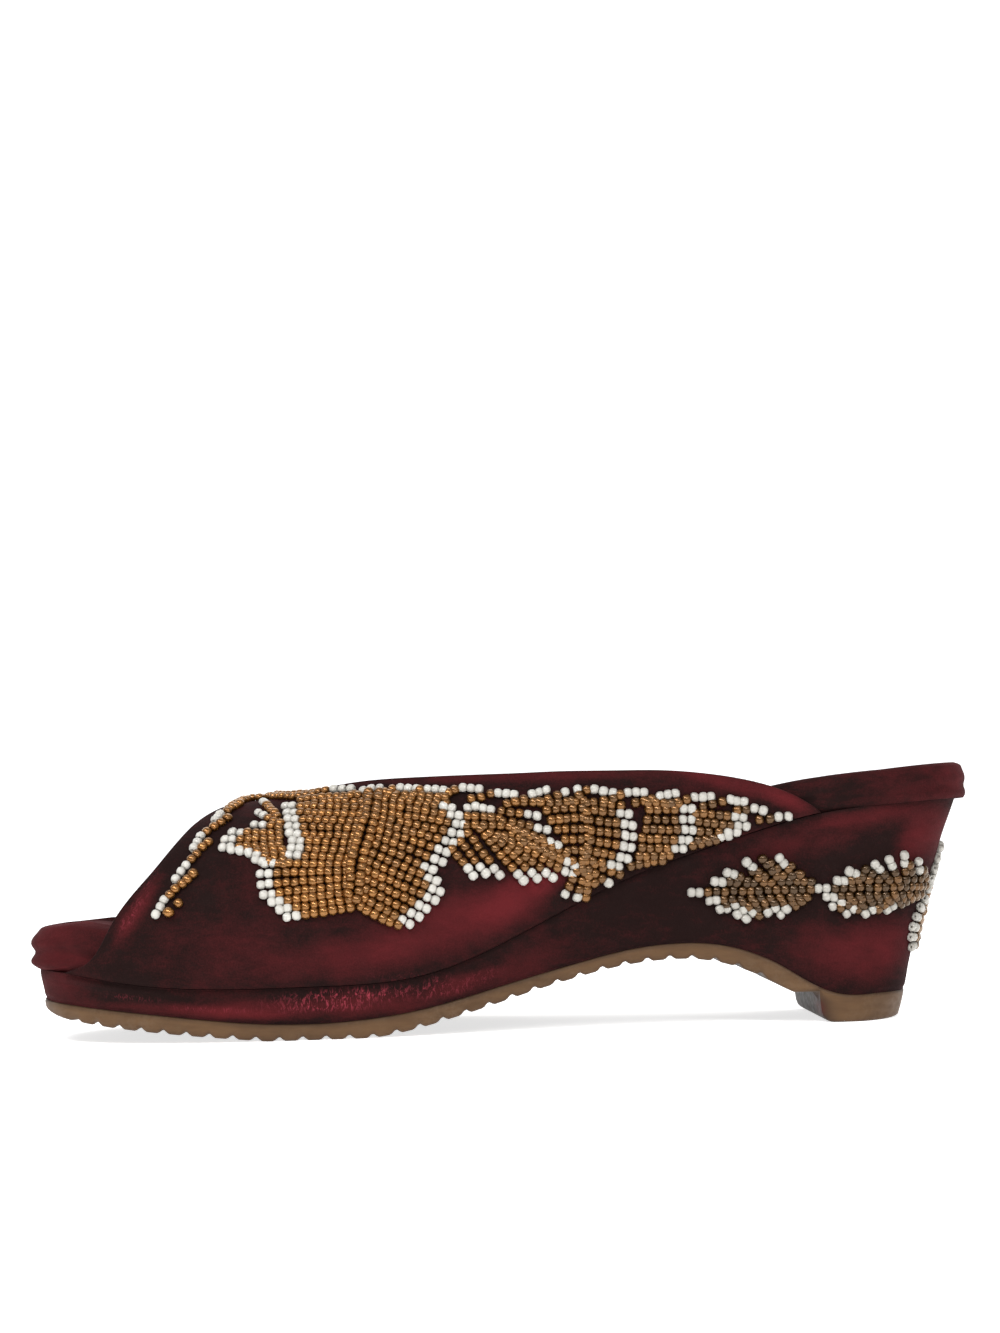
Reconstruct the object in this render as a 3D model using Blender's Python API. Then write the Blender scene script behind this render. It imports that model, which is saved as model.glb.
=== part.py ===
# A backless wedge slipper for the right foot, as separate solids:
# outsole, wedge, footbed, vamp and the raised beadwork sewn on vamp and wedge.
# +X points to the toe, +Y to the inner side of the foot, +Z up, and the floor is Z = 0.
# Every table is in millimetres. "along" runs from behind the heel (0) to the toe (248).

import bmesh
import bpy
import numpy as np

MM = 0.001
GAP = 0.3                # clearance where two pieces meet
ORIGIN_ALONG = 124.57    # the station that stands over the origin
ORIGIN_ACROSS = 0.46     # the line that passes over the origin
MERGE = 0.00001


def table(columns, *rows):
    """A short table, kept as one array for each named column."""
    return dict(zip(columns.split(), np.array(rows, float).T))


# Plan of the last: the middle line bends inwards at the toe, and the half width is narrow at the waist.
PLAN = table(
    "along middle half",
    (0, 0.0, 28.0),
    (40, -0.6, 28.6),
    (75, -1.6, 28.8),
    (100, -2.0, 31.0),
    (130, -1.4, 36.6),
    (155, -0.4, 41.0),
    (178, 0.6, 42.6),
    (200, 1.6, 42.0),
    (220, 3.2, 39.6),
    (248, 6.6, 35.0),
)

# Heights where the upper meets the wedge (feather line), seen from the side.
FEATHER = table(
    "along height",
    (0, 56.8),
    (25, 55.1),
    (44, 52.8),
    (60, 48.6),
    (75, 43.8),
    (90, 38.6),
    (102, 33.4),
    (114, 27.6),
    (126, 21.8),
    (138, 16.9),
    (150, 14.1),
    (170, 13.1),
    (200, 13.2),
    (220, 15.0),
    (235, 17.4),
    (248, 18.7),
)

# Heights where the wedge meets the outsole.
SOLE_TOP = table(
    "along height",
    (18, 7.2),
    (30, 7.2),
    (40, 7.6),
    (46, 10.0),
    (54, 14.9),
    (62, 18.6),
    (71, 20.8),
    (81, 21.2),
    (92, 20.1),
    (106, 17.0),
    (126, 11.8),
    (144, 7.2),
    (160, 4.9),
    (176, 4.3),
    (190, 5.0),
    (204, 6.5),
    (222, 8.5),
    (246, 11.1),
)

# The underside between heel and toe, through the crowns of its ribs. Below zero it is cut off flat.
UNDERSIDE = table(
    "along height",
    (44.6, 5.8),
    (51, 7.8),
    (57, 10.9),
    (63, 13.7),
    (70, 15.9),
    (78, 16.9),
    (88, 16.5),
    (98, 15.0),
    (108, 12.6),
    (118, 9.9),
    (128, 6.9),
    (138, 4.1),
    (148, 1.6),
    (157, 0.1),
    (166, -0.6),
    (176, -0.6),
    (185, 0.1),
    (196, 1.1),
    (208, 2.3),
    (220, 3.6),
    (232, 5.2),
    (240, 6.8),
    (246, 9.0),
)

# The rounded front of the heel block, from its flat foot up to the arch.
HEEL_BREAST = table(
    "along height",
    (41.4, 0.0),
    (42.8, 0.4),
    (43.8, 1.3),
    (44.4, 3.0),
    (44.6, 5.8),
)

# Outlines, from the plan: where each starts and ends, how far it is narrowed, and its round ends.
OUTLINES = {
    "top": dict(start=4.0, end=246.0, inset=0.0, heel_run=27.0, toe_run=50.0),
    "base": dict(start=19.4, end=244.6, inset=2.0, heel_run=20.0, toe_run=48.0),
}
HEEL_POWER = 2.15
TOE_POWER = 2.45

# Padded footbed: its thickness and how far its side stands outside the wedge.
# It stands proud at heel and toe, and is tucked in behind the wall of the vamp between them.
PAD = table(
    "along thickness outward softness",
    (0, 9.2, 3.0, 0.8),
    (14, 9.0, 2.5, 0.8),
    (27, 8.7, 1.4, 0.8),
    (36, 8.9, -0.1, 0.8),
    (43, 9.2, -1.1, 0.8),
    (60, 10.6, -1.2, 0.8),
    (80, 11.2, -1.4, 0.8),
    (110, 10.9, -1.6, 0.9),
    (160, 11.4, -1.6, 1.0),
    (210, 13.4, -1.5, 1.1),
    (236.6, 12.6, -0.9, 1.2),
    (240, 11.9, 0.6, 1.25),
    (244, 11.2, 1.9, 1.3),
    (248, 10.8, 2.1, 1.3),
)
PAD_EDGE = table(
    "height outward",
    (0.00, -1.3),
    (0.08, -0.2),
    (0.22, 0.0),
    (0.36, -0.7),
    (0.50, 0.0),
    (0.70, -0.3),
    (0.86, -1.5),
    (0.96, -3.4),
    (1.00, -5.8),
)

# Vamp: a leather and velvet wall, bent over an arch that rises from the feather line.
# "crest" is the height of the arch, also where the wall is cut away below it. "bulge" is how far its side
# swells, and "outward" how far its foot stands outside the wedge.
WALL = 1.8
ARCH_POWER = 2.2
ARCH = table(
    "along crest bulge outward",
    (40, 114, 0.0, 1.4),
    (60, 111, 0.5, 1.2),
    (80, 106, 1.0, 1.0),
    (100, 96.0, 1.6, 0.8),
    (120, 84.5, 2.1, 0.8),
    (140, 76.5, 2.4, 0.8),
    (156, 70.6, 2.6, 0.8),
    (167, 66.8, 2.6, 0.8),
    (178, 62.7, 2.6, 0.8),
    (198, 59.4, 2.3, 0.8),
    (214, 53.4, 1.6, 0.9),
    (225, 48.0, 0.8, 1.1),
    (237, 44.0, 0.0, 1.4),
)
BULGE_ANGLE = 13.0

# The two cut edges of the vamp, seen from the side, from its crest down to the feather line.
THROAT_EDGE = table(
    "along height",
    (178, 62.7),
    (167, 64.1),
    (156, 65.1),
    (140, 65.5),
    (123, 65.7),
    (105, 65.9),
    (90, 65.6),
    (80, 65.1),
    (70, 63.9),
    (61, 62.1),
    (54, 59.9),
    (48, 57.0),
    (43, 53.9),
)
TOE_EDGE = table(
    "along height",
    (198.0, 59.4),
    (200.9, 57.8),
    (203.9, 55.2),
    (206.6, 52.0),
    (210.3, 47.1),
    (214.2, 41.8),
    (218.3, 36.9),
    (221.9, 32.0),
    (223.9, 28.4),
    (225.9, 24.5),
    (228.0, 21.6),
    (231.6, 19.2),
    (236.0, 17.8),
)
VAMP_ROWS = 34
VAMP_COLUMNS = 24


def smooth(data, name, at, key="along"):
    """A natural cubic spline through one column of a table."""
    x = data[key]
    y = data[name]
    step = np.diff(x)
    rise = np.diff(y) / step
    count = len(x)
    matrix = np.eye(count)
    right = np.zeros(count)
    for i in range(1, count - 1):
        matrix[i, i - 1] = step[i - 1]
        matrix[i, i] = 2 * (step[i - 1] + step[i])
        matrix[i, i + 1] = step[i]
        right[i] = 6 * (rise[i] - rise[i - 1])
    bend = np.linalg.solve(matrix, right)
    at = np.asarray(at, float)
    i = np.clip(np.searchsorted(x, at) - 1, 0, count - 2)
    run = at - x[i]
    slope = rise[i] - step[i] * (2 * bend[i] + bend[i + 1]) / 6
    return y[i] + run * (slope + run * (bend[i] / 2 + run * (bend[i + 1] - bend[i]) / (6 * step[i])))


def straight(data, name, at, key="along"):
    """Straight lines through one column of a table."""
    return np.interp(at, data[key], data[name])


def outline(along, shape):
    """The inner and outer edge lines (Y) of an outline at the given stations, with round heel and toe."""
    heel = np.clip(1 - (along - shape["start"]) / shape["heel_run"], 0, 1)
    toe = np.clip(1 - (shape["end"] - along) / shape["toe_run"], 0, 1)
    ends = (1 - heel**HEEL_POWER) ** (1 / HEEL_POWER) * (1 - toe**TOE_POWER) ** (1 / TOE_POWER)
    middle = smooth(PLAN, "middle", along)
    half = (smooth(PLAN, "half", along) - shape["inset"]) * ends
    return middle + half, middle - half


def ring(along, shape, outward=0.0):
    """One closed ring of plan points: heel end, inner side, toe end, outer side. It can be set outwards."""
    inner, outer = outline(along, shape)
    points = np.column_stack(
        [
            np.concatenate([along, along[-2:0:-1]]),
            np.concatenate([inner, outer[-2:0:-1]]),
        ]
    )
    ahead = np.roll(points, -1, axis=0) - np.roll(points, 1, axis=0)
    normal = np.column_stack([-ahead[:, 1], ahead[:, 0]])
    normal /= np.linalg.norm(normal, axis=1)[:, None]
    return points + normal * np.reshape(outward, (-1, 1))


def both_sides(values):
    """Values given for each station, repeated for the ring that runs up one side and down the other."""
    return np.concatenate([values, values[-2:0:-1]])


def stations(shape, in_end, between):
    """Stations from heel to toe: equal turns of the two round ends, and equal steps between them."""
    turn = 1 - np.cos(np.linspace(0, np.pi / 2, in_end + 1))
    heel = shape["start"] + shape["heel_run"] * turn
    toe = shape["end"] - shape["toe_run"] * turn[::-1]
    return np.concatenate([heel, np.linspace(heel[-1], toe[0], between + 1)[1:-1], toe])


def add_object(name, corners, faces, material):
    """Makes a mesh object from corners in millimetres, with merged ends and faces pointing out."""
    shift = np.array([ORIGIN_ALONG, ORIGIN_ACROSS, 0.0])
    mesh = bpy.data.meshes.new(name)
    mesh.from_pydata(((np.asarray(corners) - shift) * MM).tolist(), [], faces)
    work = bmesh.new()
    work.from_mesh(mesh)
    bmesh.ops.remove_doubles(work, verts=work.verts, dist=MERGE)
    bmesh.ops.recalc_face_normals(work, faces=work.faces)
    work.to_mesh(mesh)
    work.free()
    mesh.materials.append(material)
    mesh.shade_smooth()
    mesh.set_sharp_from_angle(angle=np.radians(40))
    obj = bpy.data.objects.new(name, mesh)
    bpy.context.scene.collection.objects.link(obj)
    return obj


def layered_solid(name, rings, crossing, bottom, top, material):
    """A solid from rings stacked upwards, closed by two caps whose height is a function of plan place.

    Each ring has 2n points; point j and point 2n - j face each other across the shoe."""
    per_ring = len(rings[0])
    n = per_ring // 2
    corners = [np.array(level) for level in rings]
    faces = []
    for level in range(len(rings) - 1):
        low = level * per_ring
        high = low + per_ring
        for j in range(per_ring):
            k = (j + 1) % per_ring
            faces.append((low + j, low + k, high + k, high + j))
    used = per_ring * len(rings)
    for level, height in ((0, bottom), (len(rings) - 1, top)):
        edge = rings[level]
        rows = {0: [level * per_ring] * (crossing + 1), n: [level * per_ring + n] * (crossing + 1)}
        for j in range(1, n):
            part = np.linspace(0, 1, crossing + 1)[1:-1, None]
            between = edge[j] * (1 - part) + edge[per_ring - j] * part
            between[:, 2] = height(between[:, 0], between[:, 1])
            corners.append(between)
            inside = list(range(used, used + crossing - 1))
            rows[j] = [level * per_ring + j] + inside + [level * per_ring + per_ring - j]
            used += crossing - 1
        for j in range(n):
            for i in range(crossing):
                face = (rows[j][i], rows[j][i + 1], rows[j + 1][i + 1], rows[j + 1][i])
                faces.append(tuple(dict.fromkeys(face)))
    return add_object(name, np.vstack(corners), faces, material)


def make_material(name, colour, roughness, sheen=0.0):
    material = bpy.data.materials.new(name)
    material.use_nodes = True
    shader = material.node_tree.nodes["Principled BSDF"]
    shader.inputs["Base Color"].default_value = (*colour, 1.0)
    shader.inputs["Roughness"].default_value = roughness
    shader.inputs["Sheen Weight"].default_value = sheen
    return material


# Outsole

RIB_PITCH = 5.8
RIB_FIRST = 55.0
RIB_LAST = 236.0
RIB_DEPTH = 0.9
RIB_CROWN = 0.5          # share of the pitch that is crown, the rest is groove
SOLE_BEVEL = 0.9
HEEL_LEAN = table("along inward", (19, 2.9), (24, 2.1), (34, 0.0))


def sole_stations():
    """Stations of the outsole: round heel, heel breast, then three for each rib, then the round toe."""
    shape = OUTLINES["base"]
    near_end = np.array([0.0, 0.25, 1.0, 2.3, 4.2, 7.0])
    heel = shape["start"] + np.append(near_end, [11.0, 15.5, 20.5])
    ribs = np.arange(RIB_FIRST, RIB_LAST, RIB_PITCH)
    crowns = np.concatenate([[r, r + RIB_CROWN * RIB_PITCH, r + (1 + RIB_CROWN) / 2 * RIB_PITCH] for r in ribs])
    toe = shape["end"] - near_end[::-1]
    return np.concatenate([heel, HEEL_BREAST["along"], crowns[crowns < toe[0] - 0.5], toe])


def sole_underside(along):
    """Height of the underside: heel flat on the floor, its breast, then crowns and grooves up to the toe."""
    front = np.maximum(smooth(UNDERSIDE, "height", np.maximum(along, 51.0)), 0.0)
    place = (along - RIB_FIRST) / RIB_PITCH % 1
    depth = np.clip((place - RIB_CROWN) / (1 - RIB_CROWN), 0, 1)
    ribbed = (along > RIB_FIRST) & (along < RIB_LAST)
    groove = np.where(ribbed, RIB_DEPTH * np.sin(np.pi * depth), 0.0)
    heel = straight(HEEL_BREAST, "height", along)
    return np.where(along < HEEL_BREAST["along"][-1] + 0.01, heel, front + groove)


def make_outsole(material):
    along = sole_stations()
    shape = OUTLINES["base"]
    under = both_sides(sole_underside(along))
    over = both_sides(smooth(SOLE_TOP, "height", along) - GAP)
    lean = both_sides(straight(HEEL_LEAN, "inward", along))
    levels = []
    for inward, height in ((lean + SOLE_BEVEL, under), (lean * 0.6, under + SOLE_BEVEL), (0.0, over)):
        levels.append(np.column_stack([ring(along, shape, -inward), height]))
    return layered_solid(
        "outsole",
        levels,
        4,
        lambda x, y: sole_underside(x),
        lambda x, y: smooth(SOLE_TOP, "height", x) - GAP,
        material,
    )


# Wedge

WEDGE_IN_END = 8
WEDGE_BETWEEN = 24
WEDGE_LEVELS = 4
WAIST_HOLLOW = 1.6       # how far the side is hollowed between feather and outsole
HEEL_HOLLOW = 1.0        # and the back of the heel


def wedge_point_rings():
    """Rings from the outsole up to the feather line, drawn straight between the two outlines."""
    shapes = OUTLINES["base"], OUTLINES["top"]
    low_along, high_along = (stations(shape, WEDGE_IN_END, WEDGE_BETWEEN) for shape in shapes)
    low = ring(low_along, shapes[0])
    high = ring(high_along, shapes[1])
    low_height = both_sides(smooth(SOLE_TOP, "height", low_along))
    high_height = both_sides(smooth(FEATHER, "height", high_along))
    rings = []
    for part in np.linspace(0, 1, WEDGE_LEVELS + 1):
        place = low * (1 - part) + high * part
        tall = np.clip((high_height - low_height) / 40, 0, 1)
        middle = both_sides(smooth(PLAN, "middle", high_along))
        side = (place[:, 1] - middle) / np.maximum(np.abs(high[:, 1] - middle), 1.0)
        place[:, 1] -= side * WAIST_HOLLOW * tall * np.sin(np.pi * part)
        backness = np.clip(1 - (high[:, 0] - shapes[1]["start"]) / shapes[1]["heel_run"], 0, 1)
        place[:, 0] += HEEL_HOLLOW * backness * np.sin(np.pi * part)
        rings.append(np.column_stack([place, low_height * (1 - part) + high_height * part]))
    return rings


def make_wedge(material):
    return layered_solid(
        "wedge",
        wedge_point_rings(),
        3,
        lambda x, y: smooth(SOLE_TOP, "height", x),
        lambda x, y: smooth(FEATHER, "height", x),
        material,
    )


# Footbed

PAD_IN_END = 8
PAD_BETWEEN = 20
PAD_DISH = 0.8


def pad_top(along, across):
    """Height of the pad's face: its thickness over the wedge, a little hollow at the heel."""
    middle = smooth(PLAN, "middle", along)
    half = smooth(PLAN, "half", along)
    dish = PAD_DISH * (1 - ((across - middle) / half) ** 2)
    return smooth(FEATHER, "height", along) + GAP + straight(PAD, "thickness", along) - dish


def make_footbed(material):
    shape = OUTLINES["top"]
    along = stations(shape, PAD_IN_END, PAD_BETWEEN)
    reach = both_sides(straight(PAD, "outward", along))
    softness = both_sides(straight(PAD, "softness", along))
    base = both_sides(smooth(FEATHER, "height", along)) + GAP
    thickness = both_sides(straight(PAD, "thickness", along))
    rings = []
    for part, outward in zip(PAD_EDGE["height"], PAD_EDGE["outward"]):
        rings.append(np.column_stack([ring(along, shape, reach + softness * outward), base + thickness * part]))
    return layered_solid(
        "footbed",
        rings,
        5,
        lambda x, y: smooth(FEATHER, "height", x) + GAP,
        pad_top,
        material,
    )


# Vamp


def vamp_surface(along, angle):
    """Points of the vamp's outer face. The angle is 0 at the crest, 90 at the inner feather line, -90 at the outer."""
    shape = OUTLINES["top"]
    inner, outer = outline(along, shape)
    middle = (inner + outer) / 2
    half = (inner - outer) / 2
    turn = np.radians(np.clip(np.abs(angle), 0, 90))
    low = 90 - np.abs(angle)
    swell = smooth(ARCH, "bulge", along) * low / BULGE_ANGLE * np.exp(1 - low / BULGE_ANGLE)
    swell += smooth(ARCH, "outward", along)
    out = half * np.sin(turn) ** (2 / ARCH_POWER) + swell * np.sin(turn)
    base = smooth(FEATHER, "height", along) + GAP
    rise = (smooth(ARCH, "crest", along) - base) * np.cos(turn) ** (2 / ARCH_POWER)
    return np.stack([along, middle + np.sign(angle) * out, base + rise], axis=-1)


def edge_along(edge, angle):
    """The station of a cut edge at each angle, from its rows of stations and heights, the same on both sides."""
    base = smooth(FEATHER, "height", edge["along"]) + GAP
    share = (edge["height"] - base) / (smooth(ARCH, "crest", edge["along"]) - base)
    turn = np.degrees(np.arccos(np.clip(share, 0, 1) ** (ARCH_POWER / 2)))
    turn[0] = 0
    turn[-1] = 90
    mirrored = dict(
        turn=np.concatenate([-turn[:0:-1], turn]),
        along=np.concatenate([edge["along"][:0:-1], edge["along"]]),
    )
    return smooth(mirrored, "along", angle, "turn")


def grid_normals(points):
    normal = np.cross(np.gradient(points, axis=0), np.gradient(points, axis=1))
    return normal / np.linalg.norm(normal, axis=-1)[..., None]


def wall_from_grid(name, outside, inside, material):
    """A closed wall between two grids of the same size."""
    rows, columns = outside.shape[:2]
    count = rows * columns
    index = np.arange(count).reshape(rows, columns)
    faces = []
    for i in range(rows - 1):
        for j in range(columns - 1):
            quad = (index[i, j], index[i + 1, j], index[i + 1, j + 1], index[i, j + 1])
            faces.append(quad)
            faces.append(tuple(k + count for k in reversed(quad)))
    rim = np.concatenate([index[:, 0], index[-1, 1:], index[-2::-1, -1], index[0, -2:0:-1]])
    for first, second in zip(rim, np.roll(rim, -1)):
        faces.append((first, second, second + count, first + count))
    corners = np.vstack([outside.reshape(-1, 3), inside.reshape(-1, 3)])
    return add_object(name, corners, [tuple(int(k) for k in face) for face in faces], material)


def make_vamp(material):
    angle = np.linspace(-90, 90, VAMP_ROWS + 1)[:, None]
    part = np.linspace(0, 1, VAMP_COLUMNS + 1)[None, :]
    toe = edge_along(TOE_EDGE, angle)
    throat = edge_along(THROAT_EDGE, angle)
    along = toe + (throat - toe) * part
    outside = vamp_surface(along, angle + 0 * part)
    outward = grid_normals(outside)
    outward *= np.sign(outward[VAMP_ROWS // 2, 2, 2])
    return wall_from_grid("vamp", outside, outside - WALL * outward, material)


# Beadwork: rows of glass beads sewn on side by side, as raised plates that follow the surface below them.
# The same pattern is on the inner and the outer side.

BEAD_LIFT = 0.45         # clearance over the velvet
BEAD_HEIGHT = 1.35
CREST_ANGLE = 20.0       # the side plates stop here, and the plate over the crest lies between them
CREST_CLEARANCE = 0.7
LOWEST_RISE = 1.2        # how near the plates come to the feather line

# Flower and fans on the vamp's side: pairs of points on their upper and lower edges, from toe to heel.
SIDE_BEADS = table(
    "top_along top_height low_along low_height",
    (193.5, 52.5, 196.5, 50.0),
    (190.0, 55.5, 191.5, 47.5),
    (188.5, 60.5, 187.0, 45.5),
    (181.0, 61.5, 185.0, 40.5),
    (175.0, 62.5, 183.5, 36.0),
    (170.0, 63.0, 180.0, 32.5),
    (166.0, 63.0, 176.0, 30.0),
    (162.0, 63.5, 168.5, 31.0),
    (158.0, 63.5, 162.0, 32.0),
    (154.5, 63.5, 155.5, 30.0),
    (151.0, 63.5, 148.0, 26.0),
    (148.0, 63.5, 144.0, 28.5),
    (145.0, 63.5, 140.5, 32.0),
    (142.0, 63.0, 139.5, 35.5),
    (139.0, 63.0, 141.0, 39.5),
    (136.5, 63.0, 138.0, 43.5),
    (134.0, 62.5, 133.5, 42.5),
    (130.0, 62.5, 131.0, 39.0),
    (125.0, 61.5, 125.5, 38.0),
    (119.0, 61.5, 119.5, 37.0),
    (114.0, 61.5, 113.5, 37.0),
    (110.0, 61.5, 109.5, 34.5),
    (106.0, 61.5, 106.0, 33.5),
    (101.0, 61.0, 100.5, 36.0),
    (96.0, 61.0, 95.5, 38.5),
    (91.0, 60.5, 90.5, 41.5),
    (86.0, 60.5, 85.5, 43.0),
    (81.0, 60.0, 79.5, 44.5),
    (76.0, 59.5, 75.0, 47.0),
    (71.0, 59.0, 69.5, 48.0),
    (66.0, 58.0, 65.0, 49.5),
    (61.0, 57.0, 61.0, 51.0),
    (56.0, 55.5, 56.0, 52.5),
    (51.0, 53.5, 51.0, 51.5),
)
SIDE_BEAD_CELLS = 6

# Garland behind the toe edge, from the crest down: its middle line as stations for angles, and its half width.
TOE_GARLAND = table(
    "angle along half",
    (0, 192.5, 2.0),
    (13, 194.0, 2.0),
    (26, 197.2, 2.1),
    (39, 200.9, 2.1),
    (51, 204.1, 2.1),
    (63, 208.0, 2.0),
    (68, 210.3, 1.4),
)
TOE_GARLAND_CELLS = 28

# Garland over the crest in front of the throat edge, with a short stem towards the toe.
THROAT_MARGIN = 3.0
THROAT_WIDTH = 5.5
STEM_LENGTH = 2.8
STEM_ANGLE = 6.0
THROAT_CELLS = 20

# Leaves on the wedge's side: upper and lower edge heights for each station.
FRONT_LEAF = table(
    "along top low",
    (46.0, 35.5, 33.0),
    (49.5, 38.5, 30.0),
    (53.5, 41.0, 27.5),
    (58.0, 43.0, 26.5),
    (62.0, 42.5, 26.0),
    (66.0, 41.5, 27.0),
    (69.5, 39.0, 29.0),
    (72.0, 37.0, 31.0),
    (77.5, 35.0, 32.8),
)
BACK_LEAF = table(
    "along top low",
    (16.0, 37.0, 31.5),
    (17.5, 39.5, 30.0),
    (20.5, 41.5, 28.5),
    (24.5, 42.5, 27.5),
    (29.0, 41.5, 26.5),
    (33.0, 40.5, 26.5),
    (37.5, 39.0, 28.5),
    (40.5, 36.5, 31.0),
    (44.5, 34.6, 32.6),
)
LEAF_CELLS = 3

# Flower on the back of the heel: half width at each height.
HEEL_FLOWER = table(
    "height half",
    (15.5, 3.5),
    (17.5, 10.0),
    (20.0, 14.0),
    (22.5, 15.0),
    (25.0, 14.0),
    (28.0, 12.0),
    (30.0, 9.5),
    (33.0, 8.5),
    (36.0, 8.5),
    (39.0, 7.0),
    (42.0, 5.0),
    (44.0, 2.0),
)
HEEL_FLOWER_CELLS = 8


def vamp_angle(along, height):
    """The angle of the vamp's point at a station and a height, on the inner side."""
    base = smooth(FEATHER, "height", along) + GAP
    share = (height - base) / (smooth(ARCH, "crest", along) - base)
    return np.degrees(np.arccos(np.clip(share, 0, 1) ** (ARCH_POWER / 2)))


def raised_plate(name, surface, material, outward):
    """A plate of even thickness over a grid of surface points. "outward" is a point well outside its face."""
    normal = grid_normals(surface)
    middle = tuple(size // 2 for size in surface.shape[:2])
    if np.dot(normal[middle], outward - surface[middle]) < 0:
        normal = -normal
    low = surface + BEAD_LIFT * normal
    return wall_from_grid(name, low + BEAD_HEIGHT * normal, low, material)


def make_side_beads(name, side, material):
    part = np.linspace(0, 1, SIDE_BEAD_CELLS + 1)[None, :]
    rails = []
    for edge in ("top", "low"):
        along = SIDE_BEADS[edge + "_along"]
        lowest = smooth(FEATHER, "height", along) + GAP + LOWEST_RISE
        angle = vamp_angle(along, np.maximum(SIDE_BEADS[edge + "_height"], lowest))
        rails.append((along[:, None], np.maximum(angle, CREST_ANGLE)[:, None]))
    along = rails[0][0] * (1 - part) + rails[1][0] * part
    angle = rails[0][1] * (1 - part) + rails[1][1] * part
    surface = vamp_surface(along, side * angle)
    return raised_plate(name, surface, material, np.array([124.0, side * 200.0, 60.0]))


def make_toe_garland(material):
    end = TOE_GARLAND["angle"][-1]
    angle = np.linspace(-end, end, TOE_GARLAND_CELLS + 1)[:, None]
    along = smooth(TOE_GARLAND, "along", np.abs(angle), "angle")
    half = straight(TOE_GARLAND, "half", np.abs(angle), "angle")
    surface = vamp_surface(along + half * np.array([[1.0, 0.0, -1.0]]), angle + np.zeros((1, 3)))
    return raised_plate("garland_toe", surface, material, np.array([200.0, 0.0, 300.0]))


def make_throat_garland(material):
    reach = CREST_ANGLE - CREST_CLEARANCE
    angle = np.linspace(-reach, reach, THROAT_CELLS + 1)[:, None]
    back = edge_along(THROAT_EDGE, angle) + THROAT_MARGIN
    front = back + THROAT_WIDTH + STEM_LENGTH * np.exp(-((angle / STEM_ANGLE) ** 2))
    part = np.array([[0.0, 0.5, 1.0]])
    surface = vamp_surface(back * (1 - part) + front * part, angle + 0 * part)
    return raised_plate("garland_throat", surface, material, np.array([180.0, 0.0, 300.0]))


def wedge_level(height):
    """The wedge's outline at a height: its inner side from heel to toe, then its outer side."""
    columns = np.array(wedge_point_rings())
    places = []
    for column in columns.transpose(1, 0, 2):
        places.append([np.interp(height, column[:, 2], column[:, axis]) for axis in (0, 1)])
    places = np.array(places)
    half = len(places) // 2
    outer = np.vstack([places[:1], places[:half - 1:-1]])
    return places[:half + 1], outer


def make_leaf(name, leaf, side, material):
    rows = []
    for along, top, low in zip(leaf["along"], leaf["top"], leaf["low"]):
        row = []
        for height in np.linspace(top, low, LEAF_CELLS + 1):
            line = wedge_level(height)[0 if side > 0 else 1]
            row.append((along, np.interp(along, line[:, 0], line[:, 1]), height))
        rows.append(row)
    return raised_plate(name, np.array(rows), material, np.array([60.0, side * 200.0, 35.0]))


def make_heel_flower(material):
    rows = []
    for height, half in zip(HEEL_FLOWER["height"], HEEL_FLOWER["half"]):
        inner, outer = wedge_level(height)
        line = np.vstack([outer[:0:-1], inner])
        back = line[line[:, 0] < 32.0]
        row = []
        for across in np.linspace(-half, half, HEEL_FLOWER_CELLS + 1):
            row.append((np.interp(across, back[:, 1], back[:, 0]), across, height))
        rows.append(row)
    return raised_plate("flower_heel", np.array(rows), material, np.array([-200.0, 0.0, 30.0]))


def main():
    for old in list(bpy.data.objects):
        bpy.data.objects.remove(old, do_unlink=True)
    velvet = make_material("velvet", (0.11, 0.012, 0.016), 0.8, 0.6)
    rubber = make_material("rubber", (0.18, 0.11, 0.055), 0.7)
    beads = make_material("beads", (0.42, 0.27, 0.12), 0.25)
    make_outsole(rubber)
    make_wedge(velvet)
    make_footbed(velvet)
    make_vamp(velvet)
    make_toe_garland(beads)
    make_throat_garland(beads)
    make_heel_flower(beads)
    for side, word in ((1, "inner"), (-1, "outer")):
        make_side_beads("beadwork_" + word, side, beads)
        make_leaf("leaf_front_" + word, FRONT_LEAF, side, beads)
        make_leaf("leaf_back_" + word, BACK_LEAF, side, beads)


main()
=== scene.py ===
import bmesh
import bpy
import numpy as np
from mathutils import Matrix


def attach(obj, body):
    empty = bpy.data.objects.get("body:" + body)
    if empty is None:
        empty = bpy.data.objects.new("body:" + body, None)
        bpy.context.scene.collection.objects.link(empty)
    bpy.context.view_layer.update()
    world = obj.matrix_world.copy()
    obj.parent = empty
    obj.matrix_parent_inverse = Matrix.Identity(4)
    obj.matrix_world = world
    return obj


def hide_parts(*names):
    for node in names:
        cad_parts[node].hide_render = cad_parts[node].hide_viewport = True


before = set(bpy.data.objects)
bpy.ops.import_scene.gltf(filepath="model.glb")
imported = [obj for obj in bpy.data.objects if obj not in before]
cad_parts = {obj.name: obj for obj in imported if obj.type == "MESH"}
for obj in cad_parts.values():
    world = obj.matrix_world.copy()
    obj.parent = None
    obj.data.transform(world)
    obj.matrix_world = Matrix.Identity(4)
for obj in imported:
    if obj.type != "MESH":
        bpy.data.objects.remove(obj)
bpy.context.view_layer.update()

# Looks of a beaded velvet wedge slipper. Shapes are worked out in the shoe's own millimetres:
# "along" runs from behind the heel (0) to the toe (248), "across" towards the inner side, height from the floor.

mm = 0.001
originAlong = 124.57     # the station over the origin
originAcross = 0.46
gap = 0.3                # clearance where two pieces meet
randomDraws = np.random.default_rng(7)


def table(columns, *lines):
    # a short table, kept as one array for each named column
    return dict(zip(columns.split(), np.array(lines, float).T))


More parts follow.
